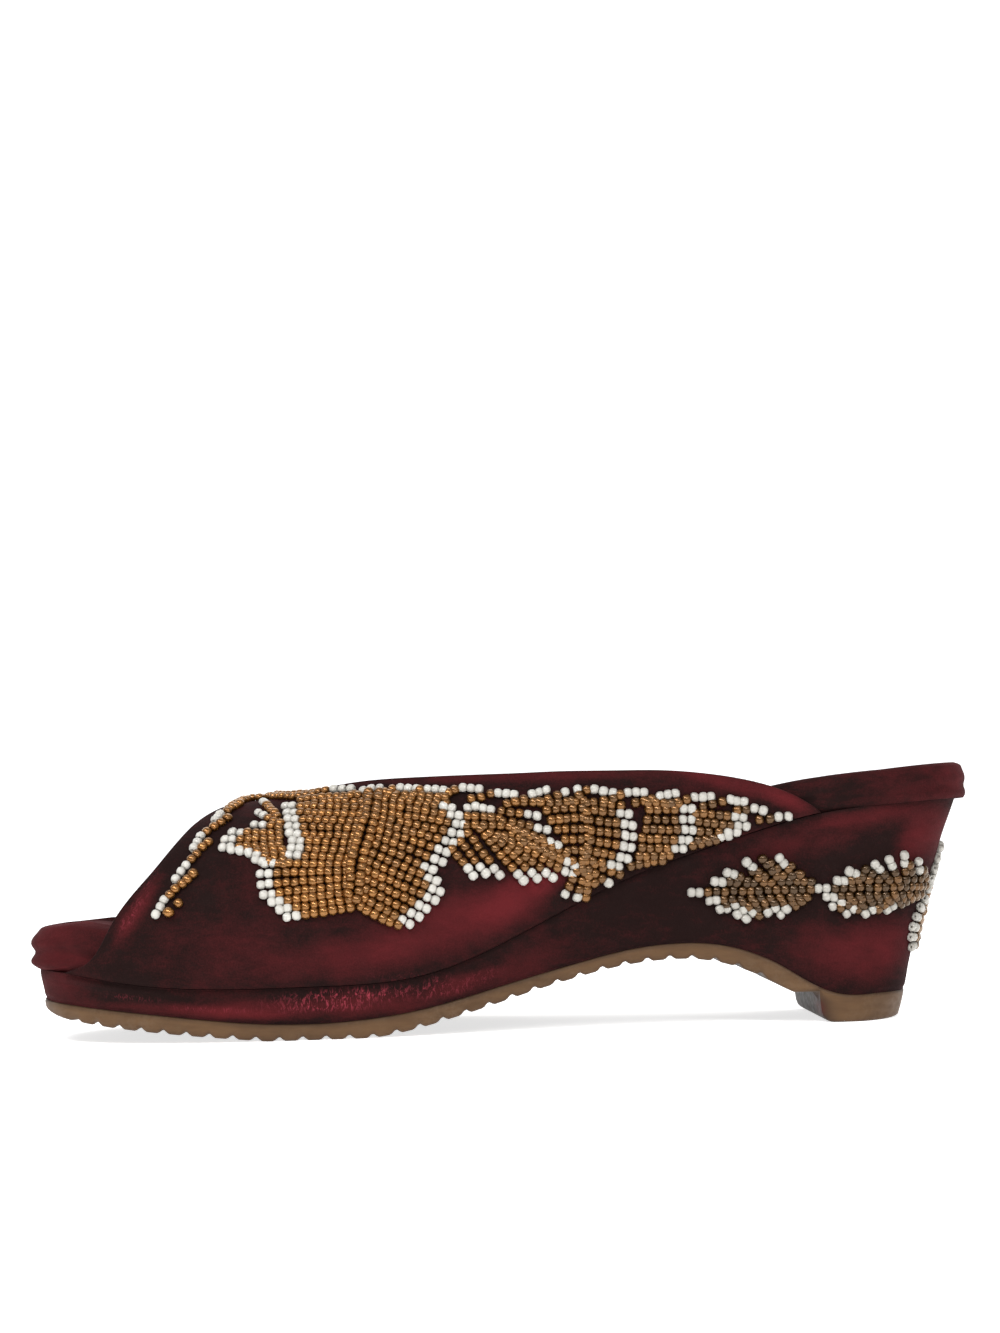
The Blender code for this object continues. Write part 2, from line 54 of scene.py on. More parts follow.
planShape = table(
    "along middle half",
    (0, 0.0, 28.0), (40, -0.6, 28.6), (75, -1.6, 28.8), (100, -2.0, 31.0), (130, -1.4, 36.6),
    (155, -0.4, 41.0), (178, 0.6, 42.6), (200, 1.6, 42.0), (220, 3.2, 39.6), (248, 6.6, 35.0),
)
featherLine = table(
    "along height",
    (0, 56.8), (25, 55.1), (44, 52.8), (60, 48.6), (75, 43.8), (90, 38.6), (102, 33.4), (114, 27.6),
    (126, 21.8), (138, 16.9), (150, 14.1), (170, 13.1), (200, 13.2), (220, 15.0), (235, 17.4), (248, 18.7),
)
soleTop = table(
    "along height",
    (18, 7.2), (30, 7.2), (40, 7.6), (46, 10.0), (54, 14.9), (62, 18.6), (71, 20.8), (81, 21.2), (92, 20.1),
    (106, 17.0), (126, 11.8), (144, 7.2), (160, 4.9), (176, 4.3), (190, 5.0), (204, 6.5), (222, 8.5), (246, 11.1),
)
outlines = {
    "top": {"start": 4.0, "end": 246.0, "inset": 0.0, "heelRun": 27.0, "toeRun": 50.0},
    "base": {"start": 19.4, "end": 244.6, "inset": 2.0, "heelRun": 20.0, "toeRun": 48.0},
}
heelPower = 2.15
toePower = 2.45


def smooth(data, name, at, key="along"):
    # natural cubic spline through one column: second derivatives from the tridiagonal system, zero at both ends
    x, y = data[key], data[name]
    step = np.diff(x)
    rise = np.diff(y) / step
    matrix = np.eye(len(x))
    right = np.zeros(len(x))
    for i in range(1, len(x) - 1):
        matrix[i, i - 1:i + 2] = step[i - 1], 2 * (step[i - 1] + step[i]), step[i]
        right[i] = 6 * (rise[i] - rise[i - 1])
    bend = np.linalg.solve(matrix, right)
    at = np.asarray(at, float)
    i = np.clip(np.searchsorted(x, at) - 1, 0, len(x) - 2)
    run = at - x[i]
    slope = rise[i] - step[i] * (2 * bend[i] + bend[i + 1]) / 6
    return y[i] + run * (slope + run * (bend[i] / 2 + run * (bend[i + 1] - bend[i]) / (6 * step[i])))


def straight(data, name, at, key="along"):
    return np.interp(at, data[key], data[name])


def bump(distance, width):
    # bell of height 1: e to the minus (distance / width) squared
    return np.exp(-((distance / width) ** 2))


def ease(value, low, high):
    # 0 below low, 1 above high, smooth between: 3t^2 - 2t^3
    t = np.clip((value - low) / (high - low), 0, 1)
    return t * t * (3 - 2 * t)


def outline(along, shape):
    # inner and outer edge lines: middle line plus and minus the half width, with superellipse ends
    heel = np.clip(1 - (along - shape["start"]) / shape["heelRun"], 0, 1)
    toe = np.clip(1 - (shape["end"] - along) / shape["toeRun"], 0, 1)
    ends = (1 - heel**heelPower) ** (1 / heelPower) * (1 - toe**toePower) ** (1 / toePower)
    middle = smooth(planShape, "middle", along)
    half = (smooth(planShape, "half", along) - shape["inset"]) * ends
    return middle + half, middle - half


def ring(along, shape, outward=0.0):
    # closed plan ring: heel end, inner side, toe end, outer side, moved outwards along its plan normals
    inner, outer = outline(along, shape)
    points = np.column_stack([np.concatenate([along, along[-2:0:-1]]), np.concatenate([inner, outer[-2:0:-1]])])
    ahead = np.roll(points, -1, axis=0) - np.roll(points, 1, axis=0)
    normal = np.column_stack([-ahead[:, 1], ahead[:, 0]])
    normal /= np.linalg.norm(normal, axis=1)[:, None]
    return points + normal * np.reshape(outward, (-1, 1))


def bothSides(values):
    return np.concatenate([values, values[-2:0:-1]])


def stations(shape, inEnd, between):
    # equal turns of the two round ends and equal steps between them
    turn = 1 - np.cos(np.linspace(0, np.pi / 2, inEnd + 1))
    heel = shape["start"] + shape["heelRun"] * turn
    toe = shape["end"] - shape["toeRun"] * turn[::-1]
    return np.concatenate([heel, np.linspace(heel[-1], toe[0], between + 1)[1:-1], toe])


def gridQuads(rows, columns, wrap=False, start=0):
    index = start + np.arange(rows * columns).reshape(rows, columns)
    if wrap:
        index = np.hstack([index, index[:, :1]])
    return np.stack([index[:-1, :-1], index[1:, :-1], index[1:, 1:], index[:-1, 1:]], -1).reshape(-1, 4)


def gridNormals(points):
    normal = np.cross(np.gradient(points, axis=0), np.gradient(points, axis=1))
    return normal / np.maximum(np.linalg.norm(normal, axis=-1)[..., None], 1e-9)


def makePiece(name, corners, quads, materials, slots=None, marks=None, merge=0.000002, sharp=None):
    # one mesh object from corners in millimetres and four-cornered faces, its ends merged, its faces pointing out
    mesh = bpy.data.meshes.new(name)
    place = (np.asarray(corners).reshape(-1, 3) - np.array([originAlong, originAcross, 0.0])) * mm
    quads = np.asarray(quads)
    mesh.vertices.add(len(place))
    mesh.vertices.foreach_set("co", place.ravel())
    mesh.loops.add(quads.size)
    mesh.loops.foreach_set("vertex_index", quads.ravel())
    mesh.polygons.add(len(quads))
    mesh.polygons.foreach_set("loop_start", np.arange(0, quads.size, 4))
    for material in materials:
        mesh.materials.append(material)
    if slots is not None:
        mesh.polygons.foreach_set("material_index", np.asarray(slots, np.int32))
    for key, values in (marks or {}).items():
        mesh.attributes.new(key, "FLOAT", "POINT").data.foreach_set("value", np.asarray(values, np.float32).ravel())
    mesh.update(calc_edges=True)
    if merge:
        work = bmesh.new()
        work.from_mesh(mesh)
        bmesh.ops.remove_doubles(work, verts=work.verts, dist=merge)
        bmesh.ops.recalc_face_normals(work, faces=work.faces)
        work.to_mesh(mesh)
        work.free()
    mesh.shade_smooth()
    if sharp:
        mesh.set_sharp_from_angle(angle=np.radians(sharp))
    obj = bpy.data.objects.new(name, mesh)
    bpy.context.scene.collection.objects.link(obj)
    return obj


def stackedShell(levels, crossing, bottom, top):
    # side wall from stacked rings, plus two caps ruled across the shoe whose heights are functions of plan place
    levels = np.asarray(levels)
    count, per = levels.shape[:2]
    corners = [levels.reshape(-1, 3)]
    quads = [gridQuads(count, per, wrap=True)]
    used = count * per
    half = per // 2
    part = np.linspace(0, 1, crossing + 1)[None, :, None]
    for level, height in ((levels[0], bottom), (levels[-1], top)):
        inner, outer = level[:half + 1, None], level[-np.arange(half + 1)][:, None]
        cap = inner * (1 - part) + outer * part
        cap[:, 1:-1, 2] = height(cap[:, 1:-1, 0], cap[:, 1:-1, 1])
        cap[[0, -1], :, 2] = level[[0, half], 2][:, None]
        corners.append(cap.reshape(-1, 3))
        quads.append(gridQuads(half + 1, crossing + 1, start=used))
        used += cap.shape[0] * cap.shape[1]
    return np.vstack(corners), np.vstack(quads)


def creaseField(u, v, creases):
    # sum of soft troughs and ridges: each is a bell across a straight line, fading out at the line's two ends
    total = np.zeros(np.broadcast(u, v).shape)
    for i in range(len(creases["depth"])):
        du = creases["endU"][i] - creases["startU"][i]
        dv = creases["endV"][i] - creases["startV"][i]
        length = np.hypot(du, dv)
        run = ((u - creases["startU"][i]) * du + (v - creases["startV"][i]) * dv) / length**2
        off = ((u - creases["startU"][i]) * dv - (v - creases["startV"][i]) * du) / length
        total += creases["depth"][i] * bump(off, creases["width"][i]) * np.sin(np.pi * np.clip(run, 0, 1)) ** 0.7
    return total


def paintedPatchField(u, v, patches):
    # patches of painted light: soft ellipses, added up
    total = np.zeros(np.broadcast(u, v).shape)
    for i in range(len(patches["light"])):
        turn = np.radians(patches["turn"][i])
        du, dv = u - patches["u"][i], v - patches["v"][i]
        a = (du * np.cos(turn) + dv * np.sin(turn)) / patches["reachU"][i]
        b = (dv * np.cos(turn) - du * np.sin(turn)) / patches["reachV"][i]
        total += patches["light"][i] * np.exp(-((a * a + b * b) ** 1.5))
    return total


# Finishes


def newGroup(name, inputs, outputs):
    group = bpy.data.node_groups.new(name, "ShaderNodeTree")
    for label, kind, value in inputs:
        socket = group.interface.new_socket(label, in_out="INPUT", socket_type=kind)
        if value is not None:
            socket.default_value = value
    for label, kind in outputs:
        group.interface.new_socket(label, in_out="OUTPUT", socket_type=kind)
    return group, group.nodes.new("NodeGroupInput"), group.nodes.new("NodeGroupOutput")


def noise(tree, vector, scale, detail=2.0, roughness=0.5, distortion=0.0):
    node = tree.nodes.new("ShaderNodeTexNoise")
    node.inputs["Scale"].default_value = scale
    node.inputs["Detail"].default_value = detail
    node.inputs["Roughness"].default_value = roughness
    node.inputs["Distortion"].default_value = distortion
    tree.links.new(vector, node.inputs["Vector"])
    return node.outputs["Fac"]


def levelsNode(tree, value, low, high, outLow=0.0, outHigh=1.0):
    node = tree.nodes.new("ShaderNodeMapRange")
    node.inputs["From Min"].default_value = low
    node.inputs["From Max"].default_value = high
    node.inputs["To Min"].default_value = outLow
    node.inputs["To Max"].default_value = outHigh
    tree.links.new(value, node.inputs["Value"])
    return node.outputs["Result"]


def mathNode(tree, kind, first, second, clamp=False):
    node = tree.nodes.new("ShaderNodeMath")
    node.operation = kind
    node.use_clamp = clamp
    for socket, value in zip(node.inputs, (first, second)):
        if isinstance(value, (int, float)):
            socket.default_value = value
        else:
            tree.links.new(value, socket)
    return node.outputs["Value"]


def mixColour(tree, share, first, second, kind="MIX"):
    node = tree.nodes.new("ShaderNodeMix")
    node.data_type = "RGBA"
    node.blend_type = kind
    for socket, value in ((node.inputs[0], share), (node.inputs[6], first), (node.inputs[7], second)):
        if isinstance(value, (int, float)):
            socket.default_value = value
        elif isinstance(value, tuple):
            socket.default_value = (*value, 1.0)
        else:
            tree.links.new(value, socket)
    return node.outputs[2]


def objectPlace(tree, stretch=(1, 1, 1), turn=(0, 0, 0)):
    coordinates = tree.nodes.new("ShaderNodeTexCoord")
    mapping = tree.nodes.new("ShaderNodeMapping")
    mapping.inputs["Scale"].default_value = stretch
    mapping.inputs["Rotation"].default_value = turn
    tree.links.new(coordinates.outputs["Object"], mapping.inputs["Vector"])
    return mapping.outputs["Vector"]


def makeNapAndLightGroup():
    # velvet: the painted-light mark (lit patches of painted sheen) plus cloudy noise of random pile tone sets the mix
    # from deep to lit colour, fine grain breaks it into fibres, and the glint mask paints glints along thread streaks
    group, given, out = newGroup(
        "velvetNapAndLight",
        [
            ("Deep", "NodeSocketColor", (0.02, 0.006, 0.008, 1)),
            ("Lit", "NodeSocketColor", (0.14, 0.015, 0.024, 1)),
            ("Glint", "NodeSocketColor", (0.42, 0.06, 0.09, 1)),
            ("PaintedLight", "NodeSocketFloat", 0.0),
            ("PaintedGlint", "NodeSocketFloat", 0.0),
            ("Cloud", "NodeSocketFloat", 1.0),
        ],
        [("Color", "NodeSocketColor"), ("Roughness", "NodeSocketFloat"), ("Height", "NodeSocketFloat")],
    )
    place = objectPlace(group)
    cloud = noise(group, place, 55.0, 3.0, 0.55, 0.6)
    streak = noise(group, objectPlace(group, (1, 1, 2.6), (0, 0.5, 0)), 190.0, 3.0, 0.6, 0.4)
    grain = noise(group, place, 2300.0, 2.0, 0.6)
    drift = mathNode(group, "ADD", levelsNode(group, cloud, 0.3, 0.7, -0.12, 0.14), levelsNode(group, streak, 0.3, 0.7, -0.08, 0.1))
    lean = mathNode(group, "ADD", given.outputs["PaintedLight"], mathNode(group, "MULTIPLY", drift, given.outputs["Cloud"]))
    lean = mathNode(group, "ADD", lean, levelsNode(group, grain, 0.3, 0.7, -0.07, 0.09), clamp=True)
    # painted light: the lit copy of the velvet colour is mixed in where the painted-light mark is high
    colour = mixColour(group, lean, given.outputs["Deep"], given.outputs["Lit"])
    # painted glints: bright thread streaks wherever the glint mask is set
    thread = noise(group, objectPlace(group, (1, 1, 0.35), (0, 0.35, 0)), 1300.0, 3.0, 0.7, 1.0)
    glint = mathNode(group, "MULTIPLY", levelsNode(group, thread, 0.5, 0.66), given.outputs["PaintedGlint"], clamp=True)
    colour = mixColour(group, glint, colour, given.outputs["Glint"])
    group.links.new(colour, out.inputs["Color"])
    group.links.new(levelsNode(group, grain, 0.3, 0.7, 0.95, 0.75), out.inputs["Roughness"])
    group.links.new(mathNode(group, "ADD", grain, mathNode(group, "MULTIPLY", streak, 0.8)), out.inputs["Height"])
    return group


def makeWearGroup():
    # dust and scuffs: large blotches times small specks
    group, given, out = newGroup(
        "dustAndScuffs",
        [
            ("Color", "NodeSocketColor", (0.2, 0.2, 0.2, 1)),
            ("Dust", "NodeSocketColor", (0.3, 0.27, 0.24, 1)),
            ("Amount", "NodeSocketFloat", 0.2),
            ("Size", "NodeSocketFloat", 60.0),
        ],
        [("Color", "NodeSocketColor"), ("Mask", "NodeSocketFloat")],
    )
    place = objectPlace(group)
    blotch = group.nodes.new("ShaderNodeTexNoise")
    blotch.inputs["Detail"].default_value = 4.0
    blotch.inputs["Roughness"].default_value = 0.65
    group.links.new(place, blotch.inputs["Vector"])
    group.links.new(given.outputs["Size"], blotch.inputs["Scale"])
    speck = noise(group, place, 900.0, 2.0, 0.7)
    mask = mathNode(group, "MULTIPLY", levelsNode(group, blotch.outputs["Fac"], 0.45, 0.75), levelsNode(group, speck, 0.35, 0.7))
    mask = mathNode(group, "MULTIPLY", mask, given.outputs["Amount"], clamp=True)
    group.links.new(mixColour(group, mask, given.outputs["Color"], given.outputs["Dust"]), out.inputs["Color"])
    group.links.new(mask, out.inputs["Mask"])
    return group


napAndLightGroup = makeNapAndLightGroup()
wearGroup = makeWearGroup()


def newMaterial(name):
    material = bpy.data.materials.new(name)
    material.use_nodes = True
    tree = material.node_tree
    return material, tree, tree.nodes["Principled BSDF"]


def useGroup(tree, group, values):
    node = tree.nodes.new("ShaderNodeGroup")
    node.node_tree = group
    for key, value in values.items():
        if isinstance(value, tuple):
            node.inputs[key].default_value = (*value, 1.0)
        elif isinstance(value, (int, float)):
            node.inputs[key].default_value = value
        else:
            tree.links.new(value, node.inputs[key])
    return node


def bumpInto(tree, shader, height, strength, distance):
    node = tree.nodes.new("ShaderNodeBump")
    node.inputs["Strength"].default_value = strength
    node.inputs["Distance"].default_value = distance
    tree.links.new(height, node.inputs["Height"])
    tree.links.new(node.outputs["Normal"], shader.inputs["Normal"])


def attributeValue(tree, name):
    node = tree.nodes.new("ShaderNodeAttribute")
    node.attribute_name = name
    return node.outputs["Fac"]


velvetLook = {
    "deep": (0.0125, 0.0060, 0.0056),
    "lit": (0.100, 0.0125, 0.0150),
    "glint": (0.26, 0.036, 0.052),
    "sheen": 0.05,
    "sheenTint": (0.75, 0.30, 0.33),
    "sheenRoughness": 0.42,
    "dust": (0.16, 0.11, 0.10),
}


def makeVelvet(name, cloud, dust):
    material, tree, shader = newMaterial(name)
    # the velvet colour takes its painted lit patches and painted glints from two marks on the mesh
    napAndLight = useGroup(
        tree,
        napAndLightGroup,
        {
            "Deep": velvetLook["deep"],
            "Lit": velvetLook["lit"],
            "Glint": velvetLook["glint"],
            "PaintedLight": attributeValue(tree, "paintedLight"),
            "PaintedGlint": attributeValue(tree, "paintedGlint"),
            "Cloud": cloud,
        },
    )
    wear = useGroup(
        tree, wearGroup, {"Color": napAndLight.outputs["Color"], "Dust": velvetLook["dust"], "Amount": dust, "Size": 70.0}
    )
    tree.links.new(wear.outputs["Color"], shader.inputs["Base Color"])
    tree.links.new(napAndLight.outputs["Roughness"], shader.inputs["Roughness"])
    shader.inputs["Specular IOR Level"].default_value = 0.04
    shader.inputs["Sheen Weight"].default_value = velvetLook["sheen"]
    shader.inputs["Sheen Roughness"].default_value = velvetLook["sheenRoughness"]
    shader.inputs["Sheen Tint"].default_value = (*velvetLook["sheenTint"], 1.0)
    bumpInto(tree, shader, napAndLight.outputs["Height"], 0.35, 0.00025)
    return material


velvet = makeVelvet("burgundyVelvet", 1.0, 0.02)
padVelvet = makeVelvet("burgundyPadVelvet", 1.3, 0.04)


def makeLining():
    # lining of the vamp: dark soft cloth-backed leather with fine pebble grain
    material, tree, shader = newMaterial("darkLining")
    place = objectPlace(tree)
    cells = tree.nodes.new("ShaderNodeTexVoronoi")
    cells.feature = "DISTANCE_TO_EDGE"
    cells.inputs["Scale"].default_value = 900.0
    tree.links.new(place, cells.inputs["Vector"])
    tone = levelsNode(tree, noise(tree, place, 120.0, 3.0), 0.35, 0.7)
    colour = mixColour(tree, tone, (0.035, 0.012, 0.012), (0.06, 0.02, 0.019))
    wear = useGroup(tree, wearGroup, {"Color": colour, "Amount": 0.25, "Size": 80.0})
    tree.links.new(wear.outputs["Color"], shader.inputs["Base Color"])
    shader.inputs["Roughness"].default_value = 0.6
    bumpInto(tree, shader, levelsNode(tree, cells.outputs["Distance"], 0.0, 0.2), 0.3, 0.0001)
    return material


lining = makeLining()

soleLook = {
    "tan": (0.125, 0.066, 0.029),
    "brown": (0.075, 0.039, 0.018),
    "dark": (0.016, 0.009, 0.006),
    "dust": (0.17, 0.12, 0.08),
    "roughness": 0.52,
}


def makeRubber():
    # tan sole rubber: faint long streaks, painted shade towards the joint, along the lower edge, on the underside and
    # on the heel breast, and a dark reddish smear where it is scuffed
    material, tree, shader = newMaterial("tanSoleRubber")
    place = objectPlace(tree)
    streak = noise(tree, objectPlace(tree, (0.35, 1, 2.2)), 260.0, 4.0, 0.6)
    cloud = noise(tree, place, 38.0, 3.0, 0.55)
    tone = mathNode(tree, "ADD", levelsNode(tree, streak, 0.35, 0.7, 0.0, 0.45), levelsNode(tree, cloud, 0.35, 0.7, 0.0, 0.6), clamp=True)
    colour = mixColour(tree, tone, soleLook["tan"], soleLook["brown"])
    # painted shade: the dark colour wherever the shade mark is set
    colour = mixColour(tree, attributeValue(tree, "paintedShade"), colour, soleLook["dark"])
    colour = mixColour(tree, attributeValue(tree, "smear"), colour, (0.07, 0.006, 0.006))
    wear = useGroup(tree, wearGroup, {"Color": colour, "Dust": soleLook["dust"], "Amount": 0.35, "Size": 90.0})
    tree.links.new(wear.outputs["Color"], shader.inputs["Base Color"])
    tree.links.new(levelsNode(tree, streak, 0.3, 0.7, soleLook["roughness"] - 0.08, soleLook["roughness"] + 0.12), shader.inputs["Roughness"])
    shader.inputs["Specular IOR Level"].default_value = 0.2
    bumpInto(tree, shader, noise(tree, place, 1500.0, 3.0, 0.6), 0.15, 0.0001)
    return material


rubber = makeRubber()

beadLook = {
    "white": (0.60, 0.58, 0.53),
    "whiteShade": (0.40, 0.38, 0.34),
    "gold": (0.32, 0.155, 0.040),
    "goldDeep": (0.055, 0.030, 0.010),
    "goldRoughness": 0.24,
    "goldCoat": (1.0, 0.78, 0.45),
}


def makeWhiteBeads():
    # opaque pearl-white glass, each bead a little different, and darker with painted shade towards the heel
    material, tree, shader = newMaterial("pearlBeads")
    colour = mixColour(tree, attributeValue(tree, "tone"), beadLook["white"], beadLook["whiteShade"])
    tree.links.new(colour, shader.inputs["Base Color"])
    shader.inputs["Roughness"].default_value = 0.28
    shader.inputs["Subsurface Weight"].default_value = 0.15
    shader.inputs["Subsurface Radius"].default_value = (0.8, 0.8, 0.7)
    shader.inputs["Subsurface Scale"].default_value = 0.0008
    shader.inputs["Coat Weight"].default_value = 0.25
    shader.inputs["Coat Roughness"].default_value = 0.15
    bumpInto(tree, shader, noise(tree, objectPlace(tree), 1800.0, 2.0), 0.1, 0.0001)
    return material


def makeGoldBeads():
    # amber glass over a bright lining: dark amber body and metallic glints, each bead a little different, and darker
    # with painted shade towards the heel
    material, tree, shader = newMaterial("amberBeads")
    colour = mixColour(tree, attributeValue(tree, "tone"), beadLook["gold"], beadLook["goldDeep"])
    tree.links.new(colour, shader.inputs["Base Color"])
    shader.inputs["Metallic"].default_value = 0.75
    cloud = noise(tree, objectPlace(tree), 1400.0, 2.0)
    tree.links.new(levelsNode(tree, cloud, 0.3, 0.7, beadLook["goldRoughness"] - 0.08, beadLook["goldRoughness"] + 0.12), shader.inputs["Roughness"])
    shader.inputs["Coat Weight"].default_value = 0.6
    shader.inputs["Coat Roughness"].default_value = 0.16
    shader.inputs["Coat Tint"].default_value = (*beadLook["goldCoat"], 1.0)
    return material


pearl = makeWhiteBeads()
amber = makeGoldBeads()
print("finishes made")


# Outsole

soleShape = {
    "ribPitch": 5.8,
    "ribFirst": 55.0,
    "ribLast": 236.0,
    "ribDepth": 1.0,
    "samplesInRib": 9,
    "bevel": 0.9,
    "crossing": 14,
}
underside = table(
    "along height",
    (44.6, 5.8), (51, 7.8), (57, 10.9), (63, 13.7), (70, 15.9), (78, 16.9), (88, 16.5), (98, 15.0), (108, 12.6),
    (118, 9.9), (128, 6.9), (138, 4.1), (148, 1.6), (157, 0.1), (166, -0.6), (176, -0.6), (185, 0.1), (196, 1.1),
    (208, 2.3), (220, 3.6), (232, 5.2), (240, 6.8), (246, 9.0),
)
heelBreast = table("along height", (41.4, 0.0), (42.8, 0.4), (43.8, 1.3), (44.4, 3.0), (44.6, 5.8))
heelLean = table("along inward", (19, 2.9), (24, 2.1), (34, 0.0))


def ribHeight(along):
    # rounded crowns with a narrower rounded notch between them: half cosine wave, sharpened
    place = (along - soleShape["ribFirst"]) / soleShape["ribPitch"] % 1
    wave = (0.5 - 0.5 * np.cos(2 * np.pi * np.clip((place - 0.42) / 0.58, 0, 1))) ** 1.2
    inside = ease(along, soleShape["ribFirst"], soleShape["ribFirst"] + 3) * (1 - ease(along, 232, 238))
    return soleShape["ribDepth"] * wave * inside


def soleUnder(along):
    # flat heel, its rounded breast, then the ribbed underside up to the toe
    front = np.maximum(smooth(underside, "height", np.maximum(along, 51.0)), 0.0) + ribHeight(along)
    heel = straight(heelBreast, "height", along)
    return np.where(along < 44.61, heel, front)


def makeOutsole():
    # rings stacked from the underside through a rounded lower edge up to the joint with the velvet
    shape = outlines["base"]
    nearEnd = 12.0 * (1 - np.cos(np.linspace(0, np.pi / 2, 15)))
    heelEnd = shape["start"] + nearEnd
    toeEnd = shape["end"] - nearEnd[::-1]
    breast = 41.0 + 3.6 * np.sin(np.linspace(0, np.pi / 2, 8))
    breast = np.append(breast, 44.62)
    middle = np.arange(46.0, toeEnd[0] - 0.3, soleShape["ribPitch"] / soleShape["samplesInRib"])
    heelFlat = np.linspace(heelEnd[-1], 41.0, 9)[1:-1]
    along = np.concatenate([heelEnd, heelFlat, breast, middle, toeEnd])
    under = bothSides(soleUnder(along))
    over = bothSides(smooth(soleTop, "height", along) - gap)
    lean = bothSides(straight(heelLean, "inward", along))
    levels = []
    bevel = soleShape["bevel"]
    for turn in np.radians([0, 25, 50, 70, 90]):
        inward = lean * (1 - 0.4 * np.sin(turn)) + bevel * (1 - np.sin(turn))
        levels.append(np.column_stack([ring(along, shape, -inward), under + bevel * (1 - np.cos(turn))]))
    low = under + bevel
    for part in (0.15, 0.35, 0.6, 0.85, 0.95):
        inward = lean * 0.6 * (1 - part) - 0.12 * np.sin(np.pi * part)
        levels.append(np.column_stack([ring(along, shape, -inward), low + (over - low) * part]))
    levels.append(np.column_stack([ring(along, shape, -0.25), over]))
    corners, quads = stackedShell(
        levels, soleShape["crossing"], lambda x, y: soleUnder(x), lambda x, y: smooth(soleTop, "height", x) - gap
    )
    along, across, height = corners.T
    rise = height - soleUnder(along)
    room = np.maximum(smooth(soleTop, "height", along) - gap - height, 0)
    inner, outer = outline(along, outlines["base"])
    inward = np.minimum(inner - across, across - outer)
    # painted shade: under the velvet's overhang at the joint, along the lower edge, over the underside and low on the
    # heel breast
    paintedShade = 0.55 * bump(room, 0.7) + 0.3 * bump(rise, 0.7) + 0.7 * ease(inward, 2, 9) * (rise < 1.5)
    paintedShade += 0.85 * bump(along - 45.2, 3.4) * (1 - ease(height, 5.0, 9.5)) * (rise < 6)
    smear = 0.85 * bump(along - 45.0, 1.6) * bump(height - 3.6, 1.8) * ease(across, 8, 22)
    piece = makePiece(
        "outsoleRubber", corners, quads, [rubber], marks={"paintedShade": np.clip(paintedShade, 0, 1), "smear": smear}, sharp=50
    )
    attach(piece, "root")
    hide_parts("outsole")


makeOutsole()
print("outsole made")


# Wedge, covered in velvet

wedgeShape = {"inEnd": 40, "between": 170, "levels": 46, "waistHollow": 1.6, "heelHollow": 1.0, "crossing": 6}

# Folds of the cover, along and height of each end; negative is a trough.
wedgeCreases = table(
    "startU startV endU endV depth width",
    (236, 17.0, 214, 12.2, 0.28, 0.9),
    (238, 15.6, 218, 10.6, -0.22, 0.8),
    (228, 13.0, 196, 9.0, 0.16, 0.9),
    (204, 10.6, 180, 9.2, -0.14, 0.9),
    (150, 12.6, 128, 16.0, 0.22, 1.2),
    (143, 11.0, 120, 16.0, -0.20, 1.2),
    (60, 46.0, 14, 53.6, 0.20, 1.5),
    (52, 45.0, 20, 50.0, -0.16, 1.6),
    (30, 12.0, 18, 26.0, 0.16, 2.0),
    (52, 20.0, 40, 12.0, -0.12, 1.8),
)
# Painted light: lighter velvet patches where light falls on the wedge cover.
wedgeLitPatches = table(
    "u v reachU reachV turn light",
    (30, 18, 13, 7, -8, 0.62),
    (46, 20, 7, 6, 30, 0.34),
    (12, 48, 8, 7, 20, 0.55),
    (20, 41, 4, 9, 10, 0.40),
    (44, 47, 16, 4, -12, 0.30),
    (33, 52, 14, 2.2, -6, 0.45),
    (240, 14, 9, 5, 0, 0.35),
    (205, 8.2, 26, 1.6, 4, 0.45),
    (186, 8.0, 14, 2.4, 0, 0.5),
    (160, 8.6, 14, 3.0, 0, 0.55),
    (136, 12.5, 10, 2.4, -18, 0.42),
    (118, 17.5, 12, 3.0, -24, 0.24),
)
# Painted glints on the velvet of the rand.
randGlints = table(
    "u v reachU reachV turn light",
    (163, 10.6, 17, 1.9, -2, 1.0),
    (170, 8.2, 12, 1.2, 0, 0.7),
    (142, 12.2, 4, 2.2, -25, 0.6),
    (133, 13.0, 7, 1.5, -22, 0.45),
    (218, 11.6, 7, 0.8, 5, 0.35),
    (196, 8.2, 14, 0.7, 4, 0.35),
)


def wedgeLevels(inEnd, between, parts):
    # straight lines between base and top outline, hollowed at the waist and at the back of the heel
    shapes = outlines["base"], outlines["top"]
    lowAlong, highAlong = (stations(shape, inEnd, between) for shape in shapes)
    low, high = ring(lowAlong, shapes[0]), ring(highAlong, shapes[1])
    lowHeight = bothSides(smooth(soleTop, "height", lowAlong))
    highHeight = bothSides(smooth(featherLine, "height", highAlong))
    middle = bothSides(smooth(planShape, "middle", highAlong))
    tall = np.clip((highHeight - lowHeight) / 40, 0, 1)
    backness = np.clip(1 - (high[:, 0] - shapes[1]["start"]) / shapes[1]["heelRun"], 0, 1)
    part = np.asarray(parts)[:, None]
    x = low[:, 0] * (1 - part) + high[:, 0] * part
    y = low[:, 1] * (1 - part) + high[:, 1] * part
    side = (y - middle) / np.maximum(np.abs(high[:, 1] - middle), 1.0)
    swell = np.sin(np.pi * part)
    y = y - side * wedgeShape["waistHollow"] * tall * swell
    x = x + wedgeShape["heelHollow"] * backness * swell
    return np.stack([x, y, lowHeight * (1 - part) + highHeight * part], -1)


